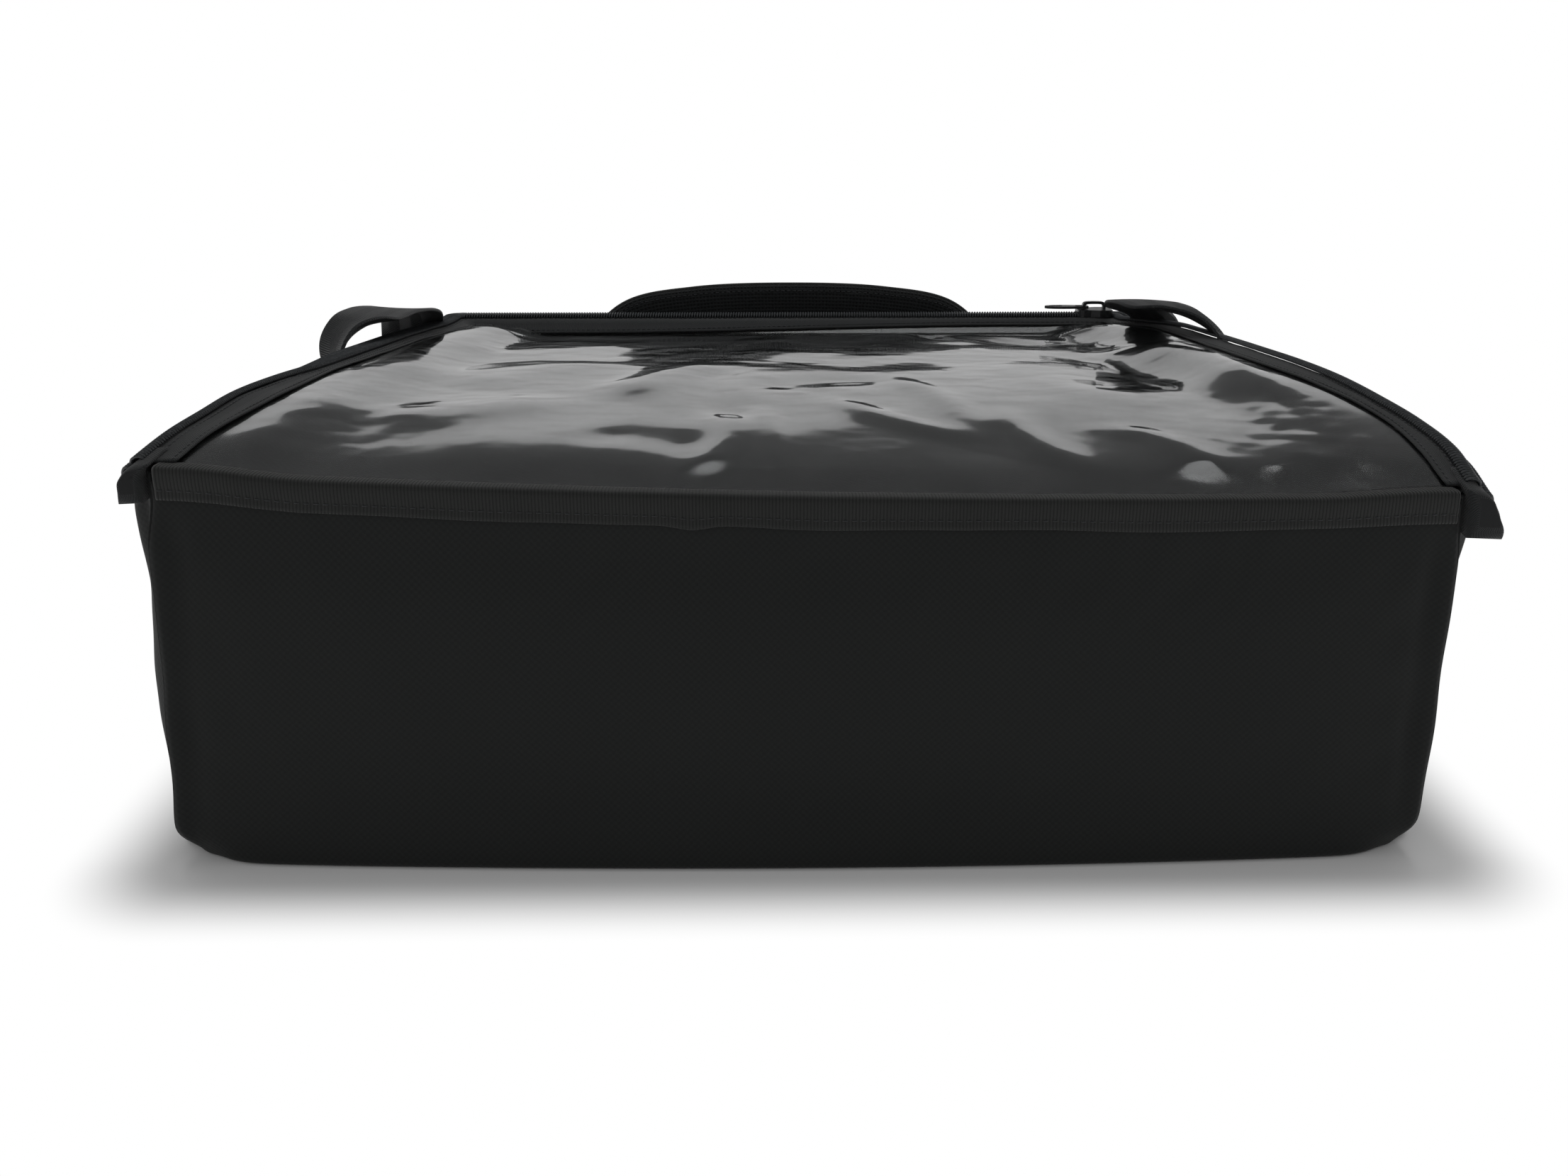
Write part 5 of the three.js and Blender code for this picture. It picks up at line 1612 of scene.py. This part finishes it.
@dataclass
class HingeBinding:
    """Grosgrain ribbon folded over the hinge seam, sewn down with one row of stitches."""

    plan: Plan
    end: float = 4.0
    face: float = 0.6
    drop: float = 10.0
    flange: float = 7.0
    seat: float = 4.1
    kink: float = -42.0
    kink_drop: float = 1.7
    bends_from: Place = (0.0, -231.0, 132.0)
    bends_to: Place = (0.0, -224.0, 139.5)
    outer: tuple[tuple[float, float], ...] = (
        (-7, 0.75), (-6.7, 1.2), (-5, 1.35), (-2.5, 1.45), (-0.3, 1.45), (1.1, 1.2), (1.85, 0.5), (2.1, -0.6),
        (2.15, -2.2), (2.12, -4), (2.05, -5.6), (1.95, -6.6), (2.1, -7.4), (2.3, -8.6), (2.3, -9.4), (1.9, -10),
    )
    sewn_corner: int = 11

    def profile(self) -> Array:
        """Corners of the folded ribbon as (distance outside the outline, height over the sheet's edge), in mm:
        the outer face down, then the inner face up and in over the sheet.
        """
        f, d, back = self.face, self.drop, -self.flange + 0.3
        inner = [
            (1.2, -d + 0.05), (0.75, -9.3), (f, -7), (f, -4), (f, -1.5), (f - 0.1, 0.1), (-0.6, 0.35), (-3, 0.35)
        ]
        return np.array([*self.outer, *inner, (back, 0.35)])

    def build(self) -> None:
        """Makes the ribbon and its stitches. It waves along its run and kinks once."""
        plan = self.plan
        run = plan.half - self.end
        x = np.linspace(-run, run, 420)[:, None]
        profile = self.profile()
        out, height = profile[None, :, 0], profile[None, :, 1]
        low = np.clip(-height / self.drop, 0, 1)
        outer = (np.arange(len(profile)) < len(self.outer))[None]
        wave = 0.25 * ripple(x, 3 * height, 46, 91) + 0.18 * ripple(x, height, 13, 92)
        kink = hump(x, self.kink, 7)
        sag = 0.45 * ripple(x, 0 * height, 75, 93) * low + self.kink_drop * kink * low
        fold = 0.55 * hump(x, self.kink + 6, 2.2) - 0.35 * hump(x, self.kink - 3, 2.6)
        y = -(plan.half + out + (wave * 0.6 + fold) * outer * ease(-height, -1, 4))
        z = plan.rim(x, -plan.half + 0 * x) - self.seat + height - sag + 0.25 * wave * outer * (height > 0)
        z = z + plan.raised(x, -plan.half + 0 * x)
        points = np.stack([x + 0 * y, y, z], -1)
        hinge = ("lid", Vector(self.bends_from), Vector(self.bends_to))
        ribbon = piece(
            "hinge_ribbon", tube(points), GROSGRAIN, "bag", ["hinge_binding"], across=hinge
        )
        row = points[:, self.sewn_corner] + np.array([0, 0.05, 0])
        stitches = stitch_row(row, np.array([0.0, -1.0, 0.0]), BINDING_STITCH)
        piece("hinge_ribbon_stitches", stitches, THREAD, "bag", across=hinge)


# Lining and foam


@dataclass
class Insulation:
    """The foam boards behind the walls and the film tub inside them."""

    plan: Plan
    board_top: float = 126.0
    board_foot: float = 7.0
    foam: float = 6.0
    floor_foam: float = 8.0
    film: float = 0.6
    behind_cloth: float = 1.3
    gap: float = 0.3
    floor_bend: float = 4.0
    cross_room: float = 14.0
    side_room: float = 26.0
    base_room: float = 15.4
    wall_edge: float = 1.6
    base_edge: float = 3.9
    film_down: float = 10.0

    def board(self, middle: Place, size: Place, corner: float) -> Patch:
        """A foam board: a rounded rectangle in plan carried up a height, drawn in by a sine at foot and top.

        Args:
            middle: the board's middle, in mm.
            size: along X, Y and Z, in mm.
            corner: how far its edges are rounded, in mm.

        Returns:
            The board.
        """
        plan_section = round_section(size[0], size[1], corner, 4)
        share = np.array([0, 0.35, 0.75, 1])
        rise = np.concatenate([corner * share, [size[2] / 2], size[2] - corner * share[::-1]])
        drawn = corner * (1 - np.sin(share * math.pi / 2))
        draw = np.concatenate([drawn, [0], drawn[::-1]])
        flat = plan_section[None] - np.sign(plan_section)[None] * draw[:, None, None]
        z = (middle[2] - size[2] / 2 + rise)[:, None, None] + 0 * flat[..., :1]
        return tube(np.concatenate([flat + np.array(middle[:2]), z], -1))

    def tub(self) -> Patch:
        """The film tub: loops of the outline carried down the walls and in to the middle of the floor."""
        plan = self.plan
        floor = self.behind_cloth + self.floor_foam + self.gap + self.film
        inside = self.behind_cloth + self.foam + self.gap + self.film
        bent = floor + self.floor_bend
        loops = []
        for wall in AROUND:
            reach = np.linspace(0, plan.span(wall), 90)[:-1]
            run = plan.along(wall, reach)
            top = self.board_top
            down = np.concatenate([[top, top - 0.8], np.linspace(top - 3, bent, 40)])[None]
            slack = 0.35 * (1 + ripple(reach[:, None], down, 30, 95 + wall.value)) * ease(top - down, 1, 12)
            walls = run.point(inside + slack, down + 0 * reach[:, None])
            turn = np.linspace(0.2, 1, 5)[None] * math.pi / 2
            foot = inside + slack[:, -1:] + self.floor_bend * (1 - np.cos(turn))
            bend = run.point(foot, bent - self.floor_bend * np.sin(turn) + 0 * reach[:, None])
            loops.append(np.concatenate([walls, bend], axis=1))
        side = np.concatenate(loops)
        scale = np.linspace(1, 0.05, 26)[None, 1:, None]
        ground = side[:, -1:] * scale
        wrinkles = 0.3 * (1 + ripple(ground[..., 0], ground[..., 1], 40, 99))
        ground[..., 2] = floor + wrinkles * ease(1 - scale[..., 0], 0, 0.1)
        return lidded(np.concatenate([side, ground], axis=1))

    def build(self) -> None:
        """Makes the five boards and the tub."""
        plan = self.plan
        height = self.board_top - self.board_foot
        lift = self.board_foot + height / 2
        seat = plan.half - self.behind_cloth - self.foam / 2
        rear = plan.width - 2 * max(plan.rear_corner, self.behind_cloth + self.foam) - self.cross_room
        front = plan.width - 2 * plan.front_corner - self.cross_room
        side = plan.depth - plan.rear_corner - plan.front_corner - self.side_room
        middle = (plan.rear_corner - plan.front_corner) / 2
        across = plan.width - self.base_room
        boards = {
            "rear": ((0, -seat, lift), (rear, self.foam, height)),
            "front": ((0, seat, lift), (front, self.foam, height)),
            "left": ((-seat, middle, lift), (self.foam, side, height)),
            "right": ((seat, middle, lift), (self.foam, side, height)),
            "base": ((0, 0, self.behind_cloth + self.floor_foam / 2), (across, across, self.floor_foam)),
        }
        for name, (place, size) in boards.items():
            board = self.board(place, size, self.base_edge if name == "base" else self.wall_edge)
            made = piece(f"{name}_foam", board, FOAM, "bag", [f"{name}_board"])
        tub = piece("lining_film", self.tub(), FOIL, "bag", ["lining_tub"], self.film)


# Webbing and handle


@dataclass
class SewnEnd:
    """An end of webbing sewn flat to a wall: it follows the wall's belly, under a crossed box of stitches.

    `gap` is its distance off the wall. `inset` is how far the box stays inside its sides, foot and seat.
    """

    plan: Plan
    wall: Wall
    middle: float
    width: float
    thick: float
    edge: float
    gap: float
    foot: float
    seat: float
    inset: Place
    rows: int
    sewn_points: int

    def webbing(self) -> Patch:
        """The webbing: its section set out from the wall at each height."""
        section = round_section(self.width, self.thick, self.edge, 3)
        run = self.plan.along(self.wall, self.plan.reach_of(self.wall, self.middle + section[:, 0]))
        z = np.linspace(self.foot, self.seat, self.rows)[None] + 0 * section[:, :1]
        off = (self.gap + self.thick / 2 + section[:, 1])[:, None, None]
        return tube(np.swapaxes(self.plan.face(self.wall, run, z) + off * run.outward()[:, None], 0, 1))

    def stitches(self, stitch: Stitch) -> Patch:
        """The box of stitches, just proud of the webbing."""
        side, low, high = self.inset
        path = boxed(self.width / 2 - side, self.foot + low, self.seat - high, self.sewn_points)
        run = self.plan.along(self.wall, self.plan.reach_of(self.wall, self.middle + path[:, 0]))
        proud = 0.1
        line = self.plan.face(self.wall, run, path[:, 1:], self.gap + self.thick + proud)[:, 0]
        return stitch_row(line, run.outward(), stitch)


# Each loop's middle line, from its rear end to its front one: distance in from the seats' plane, y and z in mm,
# and degrees turned over.
LEFT_LINE = (
    (0, 22, 118.3, 0), (0, 22, 136, 8), (1, 26, 150, 28), (3, 40, 159, 62), (6, 62, 163, 88), (8, 90, 164, 92),
    (10, 120, 161.5, 92), (9, 145, 157, 92), (6, 163, 151, 88), (3, 174, 143, 72), (1, 179, 131, 34),
    (0, 180, 118.3, 0),
)
RIGHT_LINE = (
    (0, 62, 118.3, 0), (-4, 62, 134, 8), (-2, 66, 149, 30), (10, 78, 159, 62), (22, 95, 163, 85),
    (27, 115, 164, 88), (28, 135, 162, 88), (23, 155, 156.5, 86), (13, 168, 150.5, 78), (2, 178, 139, 46),
    (-1, 180, 128, 16), (0, 180, 118.3, 0),
)


@dataclass
class SideLoop:
    """A free loop of webbing on a side wall, with the two ends sewn to the wall."""

    plan: Plan
    wall: Wall
    reach: float
    width: float = 38.0
    thick: float = 2.0
    front: float = 180.0
    foot: float = 66.0
    seat: float = 118.0
    stand_off: float = 1.0
    edge: float = 0.7
    cup: float = 0.9
    bend: tuple[float, float] = (1.0, 9.0)
    line: tuple[tuple[float, float, float, float], ...] = ()

    def outer(self) -> float:
        """X of the loop's middle line at its seats, in mm: the wall's belly, the gap and half the webbing."""
        belly = self.plan.bellied(self.wall, (self.front - self.reach, self.front), self.seat)
        return belly + self.stand_off + self.thick / 2

    def seated(self, y: float) -> float:
        """X of the webbing's middle line where it leaves its sewn end at a Y, in mm."""
        run = self.plan.along(self.wall, self.plan.reach_of(self.wall, np.array([y])))
        mid = self.stand_off + self.thick / 2
        return float(self.plan.face(self.wall, run, np.array([[self.seat]]), mid)[0, 0, 0])

    def path(self) -> Array:
        """The loop's middle line and its turn: Hermite pieces through given points, as x, y, z and radians.

        Each given point is (distance in from the seats' plane, y, z, degrees turned). Its ends are on the wall.
        While the path is drawn, the turn is made small beside the lengths, to count little in its spacing.
        """
        small = 10
        given = np.array(self.line)
        side = 1 if self.wall is Wall.RIGHT else -1
        x = side * (self.outer() - given[:, 0])
        x[[0, -1]] = self.seated(given[0, 1]), self.seated(given[-1, 1])
        path = threaded(np.stack([x, given[:, 1], given[:, 2], np.radians(given[:, 3]) / small], 1), 120)
        return path * np.array([1, 1, 1, small])

    def loop(self) -> Patch:
        """Webbing swept along the path, flat against the wall at its seats and rolled over at the crest."""
        side = 1 if self.wall is Wall.RIGHT else -1
        whole = self.path()
        path, angle = whole[:, :3], whole[:, 3]
        tangent = headings(path, 0)
        away = np.stack([0 * tangent[:, 0], -tangent[:, 2], tangent[:, 1]], 1)
        inwards = np.array([-side, 0.0, 0.0])
        wide = away * np.cos(angle)[:, None] + inwards * np.sin(angle)[:, None]
        thick = np.cross(tangent, wide)
        section = round_section(self.width, self.thick, self.edge, 3, along=10)
        cupped = np.tile(section[None], (len(path), 1, 1))
        cup = self.cup * np.sin(math.pi * np.linspace(0, 1, len(path))) ** 2
        cupped[..., 1] += cup[:, None] * (1 - (section[None, :, 0] / (self.width / 2)) ** 2)
        return swept(path, cupped, wide, thick)

    def build(self) -> None:
        """Makes the loop, its two sewn ends and their stitches."""
        name = self.wall.name.lower()
        below, above = self.bend
        hinge = (f"{name}_side_loop", Vector((0, 0, self.seat - below)), Vector((0, 0, self.seat + above)))
        piece(f"{name}_loop_webbing", self.loop(), WEBBING, "bag", [f"{name}_loop"], across=hinge)
        sewn = []
        for where, middle in (("rear", self.front - self.reach), ("front", self.front)):
            sizes = (self.width, self.thick, self.edge, self.stand_off, self.foot, self.seat)
            end = SewnEnd(self.plan, self.wall, middle, *sizes, inset=(4, 5, 9), rows=26, sewn_points=30)
            piece(
                f"{name}_loop_{where}_end", end.webbing(), WEBBING, "bag",
                [f"{name}_loop_{where}_tail"],
            )
            sewn.append(end.stitches(LOOP_STITCH))
        piece(f"{name}_loop_stitches", joined(sewn), THREAD, "bag")


@dataclass
class Handle:
    """The carrying handle: a strap through a padded sleeve, arched over its two sewn ends."""

    plan: Plan
    span: float = 244.0
    seat: float = 90.0
    foot: float = 52.0
    crest: float = 143.0
    shoulder: tuple[float, float] = (22.0, 43.0)
    width: float = 38.0
    pad: float = 11.0
    pad_off: float = 3.6
    end: float = 12.0
    strap: tuple[float, float] = (25.0, 2.4)
    strap_edge: float = 0.8
    strap_gap: float = 0.9
    bend: float = 8.0
    piping: tuple[float, float] = (1.35, 1.9)
    piping_inset: float = 0.6
    seam_inset: float = 4.2

    def wall_y(self) -> float:
        """Y of the strap's middle at its seats, in mm."""
        belly = self.plan.bellied(Wall.FRONT, (-self.span / 2, self.span / 2), self.seat)
        return belly + self.strap_gap + self.strap[1] / 2

    def path(self, count: int) -> Array:
        """The handle's middle line: up from each sewn end, over a shoulder and along a low arch."""
        half, foot = self.span / 2, self.seat + 0.3
        wide, high = self.shoulder
        pad_y = self.plan.half + self.pad_off + self.pad / 2
        left = [
            (-half, self.wall_y(), foot),
            (-half, pad_y, foot + self.end),
            (wide / 3 - half, pad_y, self.seat + high * 2 / 3),
            (wide - half, pad_y, self.seat + high),
            (-half / 2, pad_y, self.crest - self.strap[1]),
            (0.0, pad_y, self.crest),
        ]
        right = [(-x, y, z) for x, y, z in left[:-1][::-1]]
        return threaded(np.array(left + right), count)

    def frames(self, path: Array) -> tuple[Array, Array]:
        """Upright and through directions along the path."""
        tangent = headings(path, 1)
        upright = np.stack([-tangent[:, 2], 0 * tangent[:, 0], tangent[:, 0]], 1)
        return upright, np.cross(tangent, upright)

    def sleeve(self) -> Patch:
        """The padded sleeve: a plump section, thin at its piped edges, closed at both ends.

        Round the section, the distances go by powers below 1 of the cosine and the sine, which squares it. Near
        its ends it is drawn in by a root of the distance.
        """
        length, ends, square, plump = 330, 0.045, 0.62, 0.8
        path = self.path(170)[7:-7]
        upright, deep = self.frames(path)
        turn = np.linspace(0, math.tau, 40)[:-1]
        share = np.linspace(0, 1, len(path))
        run = share * length
        full = np.clip(np.minimum(share, 1 - share) / ends, 0.0, 1) ** 0.5
        puff = (0.82 + 0.18 * full) * (1 + 0.05 * ripple(run, 0 * run, 42, 101))
        across = np.sign(np.cos(turn)) * np.abs(np.cos(turn)) ** square * self.width / 2
        thick = np.sign(np.sin(turn)) * np.abs(np.sin(turn)) ** plump * self.pad / 2
        wide = across[None] * (0.93 + 0.07 * full)[:, None]
        section = np.stack([wide, thick * puff[:, None] * (0.35 + 0.65 * full)[:, None]], -1)
        section[..., 1] += 0.18 * ripple(run[:, None], across[None] * 2, 16, 103)
        return swept(path, section, upright, deep)

    def build(self) -> None:
        """Makes the strap, the sleeve, its edge piping, the sewn ends and their stitches."""
        path = self.path(150)
        upright, deep = self.frames(path)
        strap = swept(path, round_section(*self.strap, self.strap_edge, 3), upright, deep)
        hinge = ("handle", Vector((0, 0, self.seat)), Vector((0, 0, self.seat + self.bend)))
        piece("handle_webbing", strap, WEBBING, "bag", ["handle_strap"], across=hinge)
        pad = piece("handle_sleeve", self.sleeve(), SPACER_MESH, "handle", ["handle_pad"])
        inner = self.path(240)[12:-12]
        up, through_way = self.frames(inner)
        turn = np.arange(9) * math.tau / 9
        ring = np.stack([self.piping[0] * np.cos(turn), self.piping[1] * np.sin(turn)], 1)
        edges = [inner + up * side * (self.width / 2 - self.piping_inset) for side in (-1, 1)]
        rows = [swept(edge, ring, up, through_way) for edge in edges]
        piece("handle_piping", joined(rows), GROSGRAIN, "handle")
        sewn = []
        seam_height = 0.8 * self.pad / 2
        for side in (-1, 1):
            for face in (-1, 1):
                line = inner + up * side * (self.width / 2 - self.seam_inset) + through_way * face * seam_height
                sewn.append(stitch_row(line, through_way * face, SLEEVE_STITCH))
        piece("handle_sleeve_stitches", joined(sewn), THREAD, "handle")
        tails = []
        for name, middle in (("left", -self.span / 2), ("right", self.span / 2)):
            sizes = (*self.strap, self.strap_edge, self.strap_gap, self.foot, self.seat)
            end = SewnEnd(self.plan, Wall.FRONT, middle, *sizes, inset=(3, 4, 6), rows=22, sewn_points=24)
            piece(f"handle_{name}_end", end.webbing(), WEBBING, "bag", [f"handle_{name}_tail"])
            tails.append(end.stitches(STRAP_STITCH))
        piece("handle_end_stitches", joined(tails), THREAD, "bag")


# Hardware and studio


@dataclass
class Hardware:
    """The slider and its pull, which keep their solids and get a lacquered finish."""

    nodes: tuple[str, ...] = ("slider_body", "pull_tab")

    def build(self) -> None:
        """Gives each solid the lacquer."""
        for name in self.nodes:
            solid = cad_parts[name]
            solid.data.materials.clear()
            solid.data.materials.append(ZINC.material())
            log.info("%s: lacquered", name)


@dataclass
class Studio:
    """A pale floor, a plain pale surround, soft lamps and the camera.

    `horizon` is the sine of the height at which the card in gloss ends. The floor's three sizes are metres.
    """

    eye: Place = (-16.6, -690.3, 266.1)
    pitch: float = 18.82
    yaw: float = 0.84
    lens: float = 31.74
    horizon: float = 0.31
    horizon_blur: float = 0.05
    low_card: float = 0.57
    dim_room: float = 0.11
    soft_light: float = 0.29
    footprint: float = 0.2285
    shadow_reach: tuple[float, float] = (0.012, 0.055)
    floor_size: float = 6.0

    def camera(self) -> None:
        """A camera at the photograph's place, turned down and a little to the right."""
        lens = bpy.data.cameras.new("Camera")
        lens.lens, lens.sensor_width = self.lens, 36
        lens.clip_start, lens.clip_end = 0.01, 50
        camera = bpy.data.objects.new("Camera", lens)
        turn = (
            Matrix.Rotation(-math.radians(self.yaw), 4, "Z")
            @ Matrix.Rotation(math.radians(90 - self.pitch), 4, "X")
        )
        camera.matrix_world = Matrix.Translation(Vector(self.eye) * MM) @ turn
        bpy.context.scene.collection.objects.link(camera)
        bpy.context.scene.camera = camera

    def floor(self) -> None:
        """White card that keeps the bag's shadow beside it and blends to plain white farther out, to the camera
        and in gloss. The blend follows the distance outside the bag's square footprint.
        """
        mesh = bpy.data.meshes.new("Floor")
        corners = [(-1, -1), (1, -1), (1, 1), (-1, 1)]
        mesh.from_pydata([(x * self.floor_size, y * self.floor_size, 0) for x, y in corners], [], [(0, 1, 2, 3)])
        material = bpy.data.materials.new("White card")
        material.use_nodes = True
        tree = material.node_tree
        tree.nodes.clear()
        seen = node(tree, "LightPath").outputs
        either = seen["Is Camera Ray"]
        for kind in ("Is Glossy Ray", "Is Transmission Ray"):
            either = node(tree, "Math", {0: either, 1: seen[kind]}, operation="MAXIMUM")
        card = node(tree, "BsdfDiffuse", {"Color": linear("f2f2f2")})
        white = node(tree, "Emission", {"Color": linear("ffffff"), "Strength": 1.0})
        spot = node(tree, "SeparateXYZ", {0: node(tree, "TexCoord").outputs["Object"]})
        beyond = []
        for axis in (0, 1):
            size_of = node(tree, "Math", {0: spot.outputs[axis]}, operation="ABSOLUTE")
            past = node(tree, "Math", {0: size_of, 1: self.footprint}, operation="SUBTRACT")
            beyond.append(node(tree, "Math", {0: past, 1: 0.0}, operation="MAXIMUM"))
        flat = node(tree, "CombineXYZ", {0: beyond[0], 1: beyond[1]})
        away = node(tree, "VectorMath", {0: flat}, operation="LENGTH")
        near, far = self.shadow_reach
        reach = {"Value": away.outputs["Value"], "From Min": near, "From Max": far}
        clear = node(tree, "MapRange", reach, interpolation_type="SMOOTHSTEP")
        share = node(tree, "Math", {0: either, 1: clear}, operation="MULTIPLY")
        both = node(tree, "MixShader", {0: share, 1: card, 2: white})
        node(tree, "OutputMaterial", {"Surface": both})
        mesh.materials.append(material)
        floor = bpy.data.objects.new("Floor", mesh)
        bpy.context.scene.collection.objects.link(floor)

    def surround(self) -> None:
        """White to the camera, soft light on cloth, and in gloss a pale card low down under a dim room."""
        world = bpy.data.worlds.new("Studio")
        bpy.context.scene.world = world
        world.use_nodes = True
        tree = world.node_tree
        tree.nodes.clear()
        seen = node(tree, "LightPath").outputs
        way = node(tree, "TexCoord").outputs["Generated"]
        edge = {
            "Value": node(tree, "SeparateXYZ", {0: way}).outputs["Z"],
            "From Min": self.horizon,
            "From Max": self.horizon + self.horizon_blur,
            "To Min": self.low_card,
            "To Max": self.dim_room,
        }
        card = node(tree, "MapRange", edge, interpolation_type="SMOOTHSTEP")
        rays = {0: seen["Is Glossy Ray"], 1: seen["Is Transmission Ray"]}
        gloss = node(tree, "Math", rays, operation="MAXIMUM")
        plain = node(tree, "Mix", {"Factor": gloss, "A": self.soft_light, "B": card}, data_type="FLOAT")
        shown = {"Factor": seen["Is Camera Ray"], "A": plain.outputs["Result"], "B": 1.0}
        strength = node(tree, "Mix", shown, data_type="FLOAT")
        light = node(tree, "Background", {"Color": linear("ffffff"), "Strength": strength.outputs["Result"]})
        node(tree, "OutputWorld", {"Surface": light})

    def lamp(self, name: str, place: Place, size: float, watts: float) -> None:
        """A square soft lamp at a place in metres, aimed at the bag and left out of its gloss."""
        light = bpy.data.lights.new(name, "AREA")
        light.shape, light.size, light.energy = "SQUARE", size, watts
        made = bpy.data.objects.new(name, light)
        way = Vector((0.0, 0.0, 0.1)) - Vector(place)
        made.matrix_world = Matrix.Translation(place) @ way.to_track_quat("-Z", "Y").to_matrix().to_4x4()
        made.visible_glossy = False
        bpy.context.scene.collection.objects.link(made)

    def build(self) -> None:
        """Makes the camera, the floor, the surround and the lamps."""
        bpy.context.scene.view_settings.view_transform = "Standard"
        self.camera()
        self.floor()
        self.surround()
        self.lamp("Overhead", (0.0, 0.5, 1.9), size=1.6, watts=16)
        self.lamp("Fill", (-0.4, -2.0, 1.5), size=1.2, watts=5.5)


def main() -> None:
    """Builds every sub-assembly in order."""
    logging.basicConfig(level=logging.INFO, format="%(name)s: %(message)s")
    plan = Plan()
    Studio().build()
    BagBody(plan).build()
    Insulation(plan).build()
    Zip(plan).build()
    Lid(plan).build()
    HingeBinding(plan).build()
    SideLoop(plan, Wall.LEFT, reach=158.0, line=LEFT_LINE).build()
    SideLoop(plan, Wall.RIGHT, reach=118.0, line=RIGHT_LINE).build()
    Handle(plan).build()
    Hardware().build()


if __name__ == "__main__":
    main()
